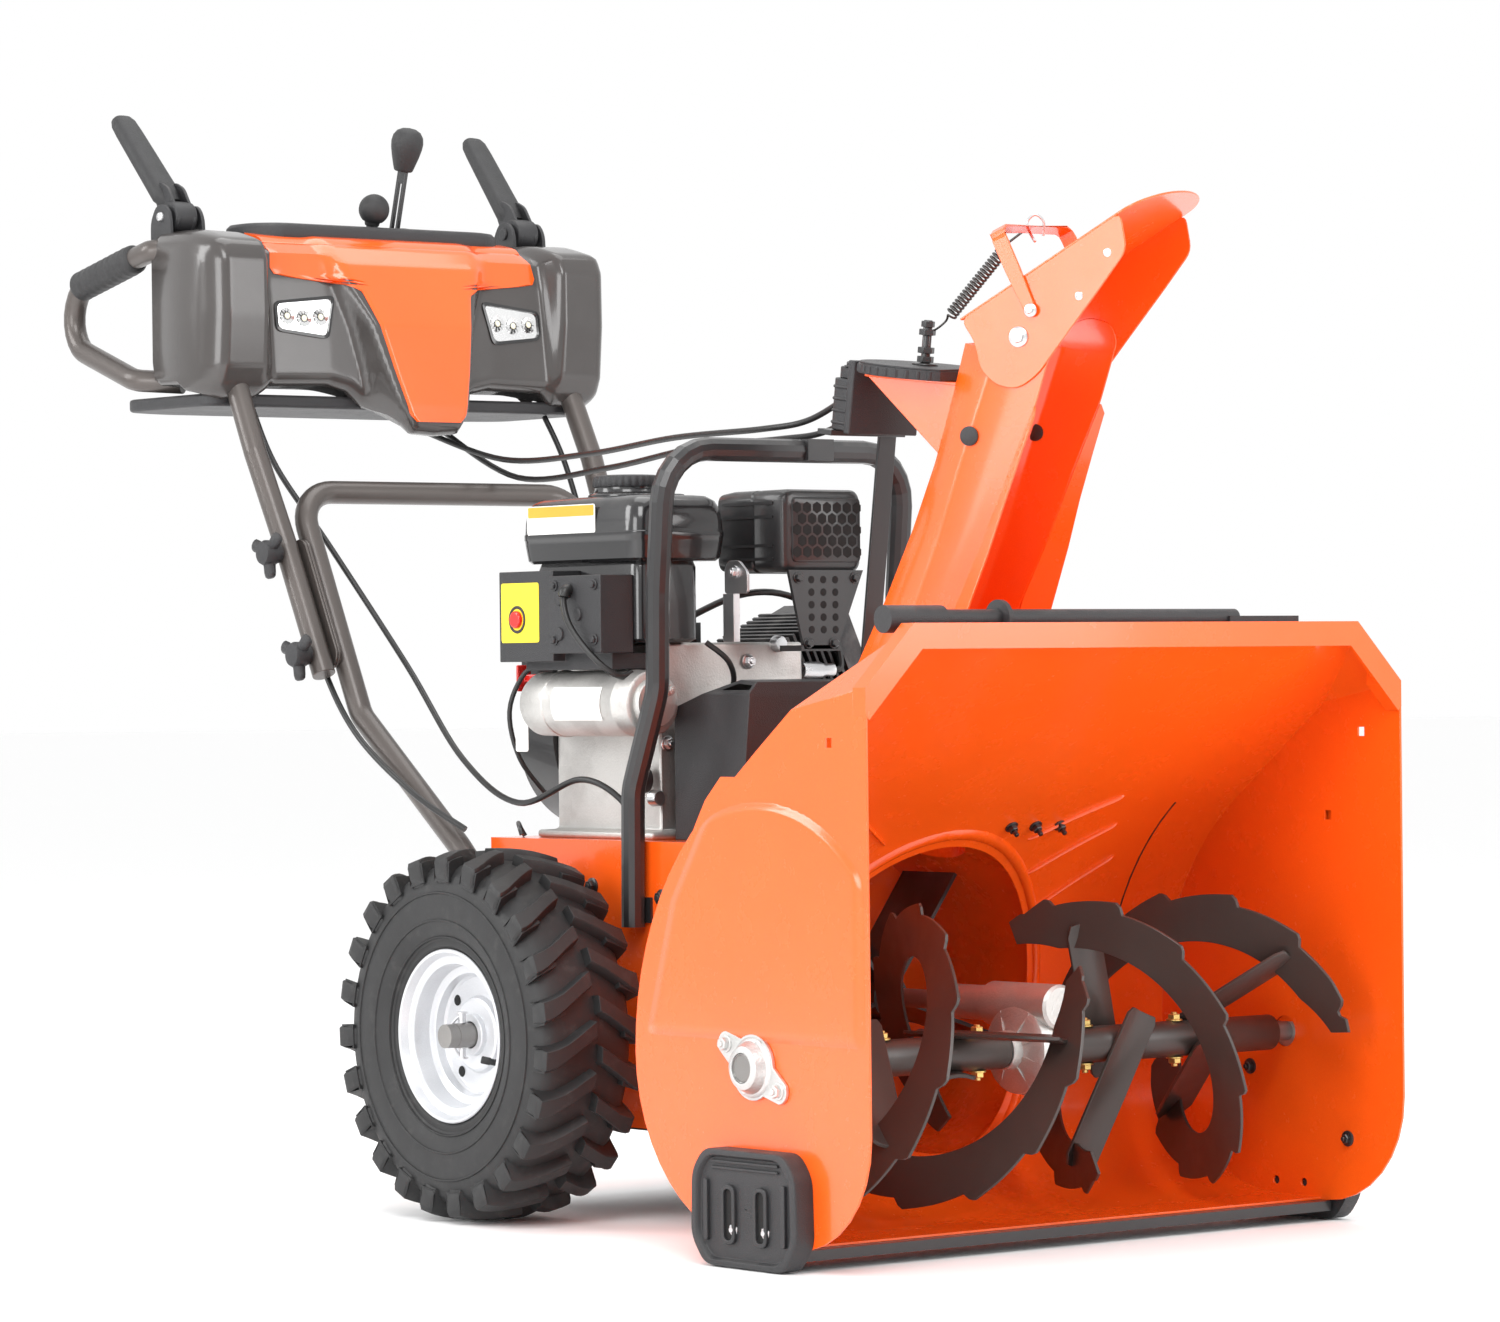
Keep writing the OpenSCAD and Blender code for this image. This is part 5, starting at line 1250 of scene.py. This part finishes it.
spring = Build()
COIL_R, WIRE_R, COIL_TURNS = 5.6, 1.25, 22
low, high = Vector(chute_at(0, 24, 524)), Vector(chute_at(0, 78, 596))
axis = (high - low).normalized()
place = frame_on(low, axis)
coil = []
length = (high - low).length
for k in range(COIL_TURNS * 12 + 1):
    s = k / (COIL_TURNS * 12)
    a = 2 * pi * COIL_TURNS * s
    coil.append(place(COIL_R * cos(a), COIL_R * sin(a), length * s))
spring.tube(coil, WIRE_R, 6)
spring.tube(smooth_path([coil[0], low - axis * 8, Vector(chute_at(0, 8, 508)), Vector(chute_at(0, -4, 505))]), 1.2,
            6)
spring.tube(smooth_path([coil[-1], high + axis * 8, Vector(chute_at(2, 96, 614))]), 1.2, 6)
spring.piece("deflector_spring_coil", "spring_steel", "chute", "deflector_spring", angle=60)

disc = Build()
DISC_R, DISC_LOW, DISC_TOP, DISC_FRONT = 66, 460.2, 472, 45
circle = arc(0, 0, DISC_R, -180, 180, 72)
outline = [(x, s) for x, s in circle if s < DISC_FRONT]
disc.prism(outline, (DISC_LOW, DISC_TOP - 2), chute_at)
disc.prism([(x * 0.985, s * 0.985) for x, s in outline], (DISC_TOP - 2, DISC_TOP), chute_at)
for k in range(36):
    a = radians(180 + 10 * k)
    x, s = 66.6 * cos(a), 66.6 * sin(a)
    if s < 42:
        tooth = frame_on(chute_at(x * 0.97, s * 0.97, 461), CHUTE_UP)
        disc.prism([(3 * cos(t), 3 * sin(t)) for t in (0, 1.05, 2.1, 3.14, 4.2, 5.24)], (0, 7.5), tooth)
disc.piece("rotator_disc_plate", "black_plastic", "chute", "rotator_disc", angle=40, bevel=0.5)
post = Build()
post_place = frame_on(chute_at(0, 0, DISC_TOP), CHUTE_UP)
post.revolve([(0.01, 0), (13, 0), (13, 1.6), (12, 2.2), (4.6, 2.2), (4.6, 44), (4, 45), (0.01, 45)], post_place, 28)
for w, r in ((3, 8.6), (12, 8.6), (30, 8.6), (38, 7)):
    post.prism(hexagon(r), (w, w + 6), post_place)
post.piece("rotator_post", "black_steel", "chute", angle=40, bevel=0.5)

bracket = Build()
lean = Matrix.Rotation(LEAN, 3, "X")
lean_up = lean @ Vector((0, 0, 1))


def lean_at(x, y, z):
    return CHUTE_BASE + lean @ Vector((x, y, z))


bracket.prism(rounded([(-34, 68), (46, 68), (46, 90), (36, 108), (-24, 108), (-34, 98)], 6, 3), (398, 450), lean_at)
bracket.prism(rounded([(-30, 66), (42, 66), (42, 88), (32, 104), (-20, 104), (-30, 96)], 6, 3), (450, 462), lean_at)
bracket.prism(rectangle(-40, 62, 50, 72, 2, 2), (396, 470), lean_at)
for z in (404, 416, 428, 440):
    bracket.prism(rounded([(-35.5, 70), (47, 70), (47, 90.5), (36.5, 109.4), (-24.5, 109.4), (-35.5, 98.5)], 6, 3),
                  (z, z + 3), lean_at)
bracket.piece("rotator_housing", "black_plastic", "chassis", "rotator_bracket", angle=40, bevel=1.2)
stay = Build()
stay.prism(rectangle(36, 104, 58, 108), (-4, 398), lean_at)
stay.prism(rectangle(30, 98, 64, 112), (-10, -3), lean_at)
stay.prism(rectangle(-40, 90, 58, 112), (392, 397.6), lean_at)
bolt(stay, lean_at(-26, 82, 462), lean_up, 6, 4, 8)
bolt(stay, lean_at(28, 82, 462), lean_up, 6, 4, 8)
stay.piece("rotator_stay", "black_steel", "chassis", angle=40, bevel=0.8)

# ---- clearing housing ----
copy_node("auger_housing", "housing_sheet", 0.7)
copy_node("impeller_housing", "impeller_drum", 0.7)
copy_node("frame_case", "frame_shell", 1.2)
copy_node("bottom_cover", "frame_underside", 0.8)
copy_node("scraper_bar", "scraper_edge", 0.8)
SIDE_X = 345.0
EAR_X = 44  # a bearing flange's bolt, from its middle


def side_relief(y, z):
    """Height of the pressing in a side plate: a crescent shoulder and a step across the plate."""
    cy, cz = -560.0, 262.0
    r = hypot((y - cy) * 0.92, z - cz)
    lens = blend_at(r, 176, 168) if z > 212 else 0.0
    front = blend_at(y, -716, -700)
    step = blend_at(z, 208, 220)
    return 4.2 * lens * step * front


def relief_patch(name, side):
    """A thin skin that carries the pressing, on the outside of a side plate."""
    made = Build()
    rows = []
    for k in range(81):
        z = 198 + 262 * k / 80
        rear = float(np.interp(z, [198, 205, 341, 438, 460], [-370, -372, -414, -478, -502]))
        row = []
        for i in range(101):
            y = -715 + (rear + 715) * i / 100
            edge = blend_at(rear - y, 4, 26)
            h = side_relief(y, z) * edge
            row.append((side * (SIDE_X + h - 0.5), y, z))
        rows.append(row[::-side])
    made.grid(rows)
    return made.piece(name, "orange_paint", "chassis", angle=60)


for side, label in SIDES:
    relief_patch(f"side_pressing_{label}", side)


WRAP_C, WRAP_R, BROW_R = (-540.0, 195.0), 175.0, 290.0
BROW_C = (WRAP_C[0] + WRAP_R - BROW_R, WRAP_C[1])


def wall(angle, inset=2.5):
    """Inner face of the curved rear wall at an angle on the brow arc, as (y, z), with its inward direction."""
    r = BROW_R - inset
    c, s = cos(radians(angle)), sin(radians(angle))
    return (BROW_C[0] + r * c, BROW_C[1] + r * s), (-c, -s)


ribs = Build()
for side in (-1, 1):
    for k in range(3):
        x0, x1 = 92 + 22 * k, 182 + 22 * k
        a0, a1 = 24 + 9 * (2 - k), 37 + 9 * (2 - k)
        rows = []
        for i in range(25):
            s = i / 24
            x, angle = x0 + (x1 - x0) * s, a0 + (a1 - a0) * s
            (y, z), (ny, nz) = wall(angle)
            e = sqrt(max(0.0, 1 - (2 * s - 1) ** 10))
            row = []
            for q in range(11):
                t = pi * q / 10
                lift = 4.2 * e * sin(t) ** 1.2 - 0.4
                row.append((side * (x + 3.5 * e * cos(t) * -0.6), y + ny * lift - nz * 4.4 * e * cos(t),
                            z + nz * lift + ny * 4.4 * e * cos(t)))
            rows.append(row)
        ribs.grid(rows)
ribs.piece("rear_wall_ribs", "orange_paint", "chassis", angle=60)

seams = Build()
for side in (-1, 1):
    x = side * 262
    rows = []
    for i in range(41):
        angle = -4 + 56 * i / 40
        (y, z), (ny, nz) = wall(angle)
        rows.append([(x - 0.9, y, z), (x - 0.9, y + ny * 0.5, z + nz * 0.5), (x + 0.9, y + ny * 0.5, z + nz * 0.5),
                     (x + 0.9, y, z)])
    seams.grid(rows, wrap_v=True, cap=True)
seams.piece("rear_wall_seams", "orange_paint", "chassis", material="dark_hole")

collar = Build()
rows = []
for i in range(97):
    t = 2 * pi * i / 96
    row = []
    for r, lift in ((159.6, -1), (160, 2.2), (163, 4.2), (167, 3.0), (170, 0.4), (171, -0.6)):
        x, z = r * cos(t), 230 + r * sin(t)
        dz = z - WRAP_C[1]
        limit = BROW_R - 2.5 if dz > 0 else WRAP_R - 2.5
        centre_y = BROW_C[0] if dz > 0 else WRAP_C[0]
        inside = max(limit**2 - dz**2, 0.0)
        y = centre_y + sqrt(inside) if inside > 0 else centre_y
        row.append((x, y - lift, z))
    rows.append(row)
collar.grid(rows)
collar.piece("impeller_mouth_roll", "orange_paint", "chassis", angle=60)

bolts = Build()
for x in (-80, -48, -16):
    (y, z), n = wall(46)
    bolt(bolts, (x + 140, y, z), (0, n[0], n[1]), 5, 5, 7, 6)
bolts.piece("housing_bolts", "black_steel", "chassis", angle=40)
plugs = Build()
for side in (-1, 1):
    for y, z in ((-470, 150), (-500, 150), (-640, 84), (-470, 96)):
        bolt(plugs, (side * 342.4, y, z), (-side, 0, 0), 5, 4, 8, 3)
plugs.piece("side_bolts", "black_steel", "chassis", angle=40)

bearing = Build()
for side in (-1, 1):
    base = SIDE_X + 0.4
    place0 = along_x(side * base, AUGER_Y, AUGER_Z, side)

    def tilt(u, v, w, place0=place0, side=side):
        a = radians(28)
        return place0(u * cos(a) - v * sin(a), u * sin(a) + v * cos(a), w)

    hub_r, ear_r = 31, 12
    outline = (arc(0, 0, hub_r, 30, 150, 14) + arc(-EAR_X, 0, ear_r, 120, 240, 8)
               + arc(0, 0, hub_r, 210, 330, 14) + arc(EAR_X, 0, ear_r, -60, 60, 8))
    bearing.prism(outline, (0, 3.4), tilt)
    bearing.revolve([(29, 3), (27.5, 5), (25, 6), (22, 12), (20.5, 15), (17, 16.6), (14.5, 17), (14, 15)], tilt, 48)
    bearing.revolve([(14.4, 15), (13.6, 14.4), (0.01, 14.4)], tilt, 40)
    for u in (-EAR_X, EAR_X):
        spot = tilt(u, 0, 3.2)
        bolt(bearing, spot, (side, 0, 0), 6.4, 5, 8.4, 2, 20)
    for v in (-24, 24):
        bearing.revolve([(5, 3), (5, 5.4), (4, 6), (0.01, 6)], lambda a, b, w, v=v, t=tilt: t(a, v + b, w), 16)
bearing.piece("bearing_flanges", "zinc_casting", "chassis", "shaft_bearings", angle=38, bevel=0.5)
caps = Build()
for side in (-1, 1):
    caps.revolve([(13.4, 15.4), (12.4, 15.8), (12, 15.2), (0.01, 15.0)],
                 along_x(side * (SIDE_X + 0.4), AUGER_Y, AUGER_Z, side), 40)
caps.piece("bearing_seals", "bare_steel", "chassis")

# ---- skids ----
for side, label in SIDES:
    low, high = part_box(f"skid_{label}")
    y0, y1 = (low.y - ORIGIN.y) * 1000, (high.y - ORIGIN.y) * 1000
    z0, z1 = (low.z) * 1000, (high.z) * 1000
    x_in = (low.x if side > 0 else -high.x) * 1000
    x_out = (high.x if side > 0 else -low.x) * 1000
    shoe = Build()
    cy, cz = (y0 + y1) / 2, (z0 + z1) / 2
    outline = rounded([(y0, z0 + 26), (y0 + 20, z0), (y1 - 20, z0), (y1, z0 + 26), (y1 - 2, z1 - 22), (y1 - 20, z1),
                       (y0 + 20, z1), (y0 + 2, z1 - 22)], 12, 5)

    def shoe_at(y, z, x, side=side):
        return side * x, y, z

    def scaled(f):
        return [(cy + (y - cy) * f, cz + (z - cz) * (f - 0.012)) for y, z in outline]

    slots_y = [cy - 24, cy + 24]
    levels = [(1.0, x_in), (1.0, x_out - 3), (0.985, x_out - 0.8), (0.955, x_out), (0.9, x_out),
              (0.875, x_out - 2.4),
              (0.86, x_out - 5), (0.4, x_out - 5), (0.02, x_out - 5)]
    rows = [[shoe_at(y, z, x) for y, z in scaled(f)] for f, x in levels]
    shoe.grid(rows, wrap_v=True)
    shoe.grid([[shoe_at(y, z, x_in) for y, z in scaled(f)] for f in (1.0, 0.02)], wrap_v=True)
    for sy in slots_y:
        rim_ = rectangle(sy - 10, 22, sy + 10, 78, 9, 4)
        hole = rectangle(sy - 6, 26, sy + 6, 74, 6, 4)
        rows = [[shoe_at(y, z, x) for y, z in loop] for loop, x in
                ((rim_, x_out - 5.4), (rim_, x_out - 1.6), (hole, x_out - 1.2), (hole, x_out - 5.4))]
        shoe.grid(rows, wrap_v=True)
    for dy in (-58, 58):
        rib = rectangle(cy + dy - 3, 24, cy + dy + 3, 82, 2, 2)
        rows = [[shoe_at(y, z, x) for y, z in rib] for x in (x_out - 5.6, x_out - 1.4)]
        shoe.grid(rows, wrap_v=True, cap=True)
    for z in (92, 98):
        rib = rectangle(cy - 50, z, cy + 50, z + 2.6, 1, 2)
        shoe.grid([[shoe_at(y, zz, x) for y, zz in rib] for x in (x_out - 5.6, x_out - 2.4)], wrap_v=True, cap=True)
    shoe.piece(f"skid_{label}_shoe", "black_plastic", f"skid_{label}", f"skid_{label}", angle=40, bevel=0.7)
    # Painted shade: near-black discs sunk in the shoe's two slots, standing in for the shade inside them.
    dark = Build()
    for sy in slots_y:
        hole = rectangle(sy - 6.2, 26, sy + 6.2, 74, 6, 4)
        dark.grid([[shoe_at(y, z, x_out - 4.4) for y, z in hole],
                   [shoe_at(sy + (y - sy) * 0.05, 50 + (z - 50) * 0.05, x_out - 4.4)
                                                                 for y, z in hole]], wrap_v=True)
    dark.piece(f"skid_{label}_slots", "black_plastic", f"skid_{label}", material="dark_hole")

SKID_HEAD_X, SKID_Y, SKID_BOLT_Z = 367.0 - 9.4, -561, 36
heads = Build()
for side in (-1, 1):
    for dy in (-24, 24):
        bolt(heads, (side * SKID_HEAD_X, SKID_Y + dy, SKID_BOLT_Z), (side, 0, 0), 6.4, 4.4, 9, 2.4, 20)
heads.piece("skid_bolt_heads", "zinc_steel", "chassis", "skid_bolts", angle=40)

# ---- engine ----
for node, name, width, parts in (
    ("engine_block", "crankcase", 3.5, 3), ("engine_cylinder", "cylinder_fins", 0.6, 2),
    ("blower_housing", "blower_shroud", 4, 3),
    ("recoil_grip", "recoil_handle", 3, 3), ("switch_box", "switch_case", 3, 3),
    ("start_button", "start_dome", 2, 3),
    ("ignition_key", "key_bow", 1.5, 2), ("choke_knob", "choke_lever", 2, 3), ("dipstick", "dipstick_cap", 2, 3),
    ("belt_cover", "belt_guard", 6, 4), ("cleanout_tool", "snow_tool", 1.6, 2),
    ("impeller", "impeller_blades", 0.8, 2),
    ("axle", "wheel_axle", 0.8, 2), ("friction_wheel", "friction_rim", 1, 2), ("drive_disc", "drive_plate", 1, 2),
    ("engine_pulley", "crank_pulley_vee", 0.8, 2), ("auger_belt", "vee_belt", 0.6, 2),
    ("impeller_shaft", "impeller_axle", 0.8, 2),
):
    copy_node(node, name, width, segments=parts)


def loft(build, place, levels, corner, steps=6):
    """A rounded box along place's third axis, from (along, half width, half height) levels."""
    rows = []
    for along, half_u, half_v in levels:
        outline = rectangle(-half_u, -half_v, half_u, half_v, min(corner, half_u - 1, half_v - 1), steps)
        rows.append([place(u, v, along) for u, v in outline])
    return build.grid(rows, wrap_v=True, cap=True)


TANK_X, TANK_Y, CAP_X, CAP_Y = -91, -20, -88, -24
tank = Build()
loft(tank, along_z(TANK_X, TANK_Y, 0),
     [(674, 55, 98), (677, 58, 101), (694, 60, 103.4), (698, 60.4, 103.6), (699, 61, 104), (704, 61, 104),
                      (705, 60.2, 103.4), (716, 59.6, 103), (728, 58, 101), (736, 54.5, 97.5), (741, 48, 91),
                      (742, 40, 84)], 22)
loft(tank, along_z(-100, TANK_Y, 0), [(590, 36, 84), (594, 40, 90), (630, 40, 90), (668, 40, 90), (674.5, 38, 88)],
     14)
tank.revolve([(41, 741), (41, 744), (38, 746.5), (35, 747), (34, 750), (34, 752)], along_z(CAP_X, CAP_Y, 0), 64)
for y in (-96, 56):
    loft(tank, along_z(TANK_X, y, 0), [(740.5, 22, 5), (743, 20, 3.4), (743.6, 16, 2)], 4)
tank.piece("fuel_tank_shell", "gloss_black", "chassis", "fuel_tank", angle=36)
cap = Build()
lobes = 30
rows = []
for i in range(lobes * 6):
    t = 2 * pi * i / (lobes * 6)
    grip = 1.1 * max(0.0, cos(lobes * t)) ** 0.6
    rows.append([(CAP_X + r * cos(t), CAP_Y + r * sin(t), z) for r, z in
                 ((30, 752.2), (35.4 - grip, 752.4), (36.4 - grip, 754), (36 - grip, 761),
                  (34.6 - grip * 0.4, 763.6), (31, 764.8),
                  (26, 765), (24, 763.6), (6, 763.4), (0.01, 763.4))])
cap.grid(rows, wrap_u=True)
cap.prism(rectangle(-20, -5, 20, 5, 4, 4), (763, 764.9), along_z(CAP_X, CAP_Y, 0))
cap.piece("fuel_cap_knurl", "black_plastic", "fuel_cap", "fuel_cap", angle=40)


def label_x(name, material, x, y0, y1, z0, z1, corner=3, thick=0.5):
    """A thin label on a face whose outside looks along -x."""
    made = Build().prism(rectangle(y0, z0, y1, z1, corner, 3), (x, x - thick), lambda y, z, x: (x, y, z))
    return made.piece(name, None, "chassis", material=material)


label_x("tank_label", "label_white", -151.2, -52, 66, 704, 734)
label_x("tank_label_band", "label_orange", -151.6, -50, 64, 722, 733, 1.5)
label_x("switch_label", "label_yellow", -175.9, 14, 80, 592, 654)
for row_z in (704.5, 712.5):
    label_x(f"tank_label_rule_{int(row_z)}", "label_white", -151.7, -40, 10, row_z + 1, row_z + 3.6, 0.8)
label_x("case_label", "label_white", -150.5, 70, 92, 478, 520)

sockets = Build()
for y, z in ((-30, 636), (-62, 620), (-30, 600)):
    sockets.revolve([(0.01, 2.5), (5.5, 2.5), (6.5, 2), (7, 0)], along_x(-182, y, z, -1), 20)
for z in (594, 650):
    bolt(sockets, (-182, -22, z), (-1, 0, 0), 4, 3, 5.4, 0, 10)
    bolt(sockets, (-182, -90, z), (-1, 0, 0), 4, 3, 5.4, 0, 10)
ring = [(-176, 52 + 13 * cos(radians(a)), 616 + 13 * sin(radians(a))) for a in range(0, 361, 15)]
sockets.tube(ring, 1.8, 8, cap=False)
sockets.piece("switch_fittings", "black_plastic", "chassis", angle=40)
cord = Build()
cord.tube(smooth_path([(-184, -48, 640), (-192, -50, 634), (-194, -62, 610), (-188, -80, 586), (-176, -96, 566),
                       (-160, -104, 556),
                       (-146, -104, 560)]), 3.4, 10)
cord.tube(smooth_path([(-183, -48, 646), (-188, -48, 644), (-190, -48, 638)]), 6, 12)
cord.piece("starter_lead", "cable_jacket", "chassis", angle=60)

starter = Build()
sx, sz = -134.0, 528.0
starter.revolve([(0.01, -132), (18, -132), (24, -131), (26, -128), (26, -124.5), (31, -124), (33.4, -122),
                 (34, -119), (34, -100),
                 (34.6, -99), (34.6, -96), (34, -95), (34, 22), (35, 23), (35, 27), (34, 28), (33.5, 60), (31, 65),
                 (22, 66), (0.01, 66)],
                along_y(sx, 0, sz), 64)
starter.revolve([(0.01, 90), (20, 90), (23, 88), (24, 84), (24, 62)], along_y(sx + 12, 0, sz - 6), 40)
loft(starter, along_z(sx + 34, -20, 0), [(502, 5, 44), (506, 7, 48), (550, 7, 48), (554, 5, 44)], 5)
for k in (40, 220):
    a = radians(k)
    bolt(starter, (sx + 21 * cos(a), -131.4, sz + 21 * sin(a)), (0, -1, 0), 4.4, 4, 6, 1, 10)
starter.piece("starter_motor", "cast_aluminium", "chassis", "electric_starter", angle=36)
wrap = Build()
rows = []
for y in (-78, 6):
    rows.append([(sx + 34.5 * cos(radians(a)), y, sz + 34.5 * sin(radians(a))) for a in range(150, 211, 5)])
wrap.grid(rows)
wrap.piece("starter_label", None, "chassis", material="label_white", solid=0.3)

# muffler: shell, face grille and the drilled bracket; the grille's openings and the bracket's holes are painted
# shade
muffler = Build()
MUFFLER_X, MUFFLER_Z, GUARD_X, GUARD_Z = 71, 705, 75, 706
GUARD_FACE, BRACKET_FACE = -152.2, -155.8
loft(muffler, upright(MUFFLER_X, MUFFLER_Z),
     [(-36, 46, 36), (-39, 51, 41), (-60, 53, 43), (-96, 53, 43), (-98, 51.6, 41.6), (-101, 51.6, 41.6),
                   (-103, 53, 43), (-144, 53, 43), (-148, 51, 41), (-150, 47, 37)], 12, 5)
loft(muffler, upright(GUARD_X, GUARD_Z), [(-149, 46, 34), (-151.4, 45.4, 33.4), (-152.4, 44, 32)], 6, 5)
muffler.prism([(20, 664), (120, 664), (84, 582), (40, 582)], (-156, -152), upright())
muffler.prism(rectangle(36, 586, 88, 580), (-156, -120), upright())
for x, z in ((32, 656), (108, 656), (45, 588), (79, 588)):
    bolt(muffler, (x, -155.6, z), (0, -1, 0), 4.4, 4, 6, 0, 20)
for z in (676, 690, 720, 734):
    muffler.prism(rectangle(-134, -1.6, -50, 1.6, 1.2, 2), (17.8, 16.8),
                  lambda u, v, w, z=z: (w, u, z + v))
muffler.piece("muffler_shell", "black_steel", "chassis", "muffler", angle=36)
# Painted shade: near-black discs where the grille's openings and the bracket's holes are, in place of the shade
# inside them.
grille = Build()
pitch = 13.4
for i in range(-3, 4):
    for k in range(-2, 3):
        x, z = GUARD_X + pitch * i + (pitch / 2 if k % 2 else 0), GUARD_Z + pitch * 0.86 * k
        if abs(x - GUARD_X) < 41 and abs(z - GUARD_Z) < 29:
            grille.prism(arc(x, z, 6.2, 30, 330, 5), (GUARD_FACE, GUARD_FACE - 0.5), upright())
for x in (50, 66, 82):
    for k in range(5):
        grille.prism(arc(x, 602 + 13 * k, 4, 0, 340, 17), (BRACKET_FACE, BRACKET_FACE - 0.5), upright())
grille.piece("muffler_openings", "black_steel", "chassis", material="dark_hole")

# engine trim: clip, carburettor, spark lead, bolts, wires
trim = Build()
for x, y, z in ((-88, -87, 486), (-60, -87, 400), (60, -87, 410), (-95, -87, 560), (20, -87, 570)):
    bolt(trim, (x, y, z), (0, -1, 0), 6, 5, 8, 2, 15)
for x, z in ((-104, 560), (-104, 430), (84, 430), (60, 588)):
    trim.revolve([(0.01, 10), (7, 10), (8.4, 8), (9, 0)], frame_on((x, -84, z), (0, -1, 0)), 24)
trim.revolve([(0.01, 0), (9, 0), (9, 26), (7, 30), (7, 44), (0.01, 44)], along_x(112, -60, 560, 1), 24)
trim.piece("engine_bolts", "zinc_steel", "chassis", angle=40)
lead = Build()
lead.tube(smooth_path([(154, -60, 560), (166, -62, 566), (160, -50, 610), (120, -30, 640), (60, -20, 640),
                       (0, 10, 610)]), 3.6, 10)
lead.tube(smooth_path([(-60, -118, 590), (-40, -130, 570), (-30, -124, 545), (-44, -108, 520)]), 3, 10)
lead.tube(smooth_path([(-128, 66, 570), (-140, 90, 560), (-150, 104, 520), (-140, 100, 470), (-110, 92, 430)]), 2.6,
          10)
lead.piece("spark_lead", "cable_jacket", "chassis", angle=60)
clip = Build()
clip.prism(rounded([(-150, 0), (-112, 0), (-112, 26), (-118, 34), (-136, 34), (-150, 22)], 4, 3), (-30, -27),
           lambda y, z, x: (x, y, 640 + z))
clip.prism(rectangle(-30, -30, -22, 30), (590, 640), lambda x, y, z: (x, -118 + y * 0.3, z))
bolt(clip, (-30, -130, 662), (-1, 0, 0), 5, 4, 7, 2)
clip.piece("cable_clip", "zinc_steel", "chassis", bevel=0.5)

frame_bits = Build()
for x, y, z in ((-145, -32, 339), (-145, 60, 350), (-145, -150, 330), (-145, 90, 200), (-145, -120, 200)):
    bolt(frame_bits, (x, y, z), (-1, 0, 0), 6.4, 5, 9, 1)
    bolt(frame_bits, (-x, y, z), (1, 0, 0), 6.4, 5, 9, 1)
frame_bits.tube(smooth_path([(-120, 120, 388), (-124, 122, 396), (-130, 118, 402), (-136, 108, 398),
                             (-136, 104, 390)]), 2.6, 8)
frame_bits.piece("frame_bolts", "black_steel", "chassis", angle=40)

# ---- control cables ----
CABLES = [
    [(-206, 520, 856), (-210, 486, 800), (-207, 432, 694), (-207, 377, 583), (-207, 310, 500), (-202, 212, 436),
     (-176, 150, 396)],
    [(-192, 524, 856), (-186, 486, 790), (-160, 420, 700), (-130, 320, 570), (-150, 190, 470), (-172, 60, 425),
     (-166, -40, 450),
     (-156, -96, 430), (-150, -106, 400)],
    [(206, 520, 856), (210, 486, 800), (207, 432, 694), (207, 377, 583), (207, 310, 500), (202, 212, 436),
     (176, 150, 396)],
    [(30, 520, 838), (60, 400, 800), (60, 240, 800), (40, 60, 810), (30, -100, 812), (36, -170, 818),
     (30, -240, 838), (10, -268, 842),
     (0, -278, 846)],
    [(60, 520, 838), (80, 400, 780), (86, 240, 785), (70, 60, 800), (54, -100, 802), (56, -170, 806),
     (50, -240, 824), (34, -268, 830),
     (24, -278, 832)],
]
fold = joints["handle_fold"]["pos_m"]
for k, points in enumerate(CABLES):
    made = Build()
    made.tube(smooth_path(points, 10), 3.3, 12)
    ob = made.piece(f"cable_{k + 1}", "cable_jacket", None, "control_cables" if k == 0 else (), angle=70)
    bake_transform(ob)

# ---- every CAD node that is still shown ----
for node, ob in nodes.items():
    if not ob.hide_render:
        ob.data.materials.clear()
        ob.data.materials.append(material_for(slot_of[node]))
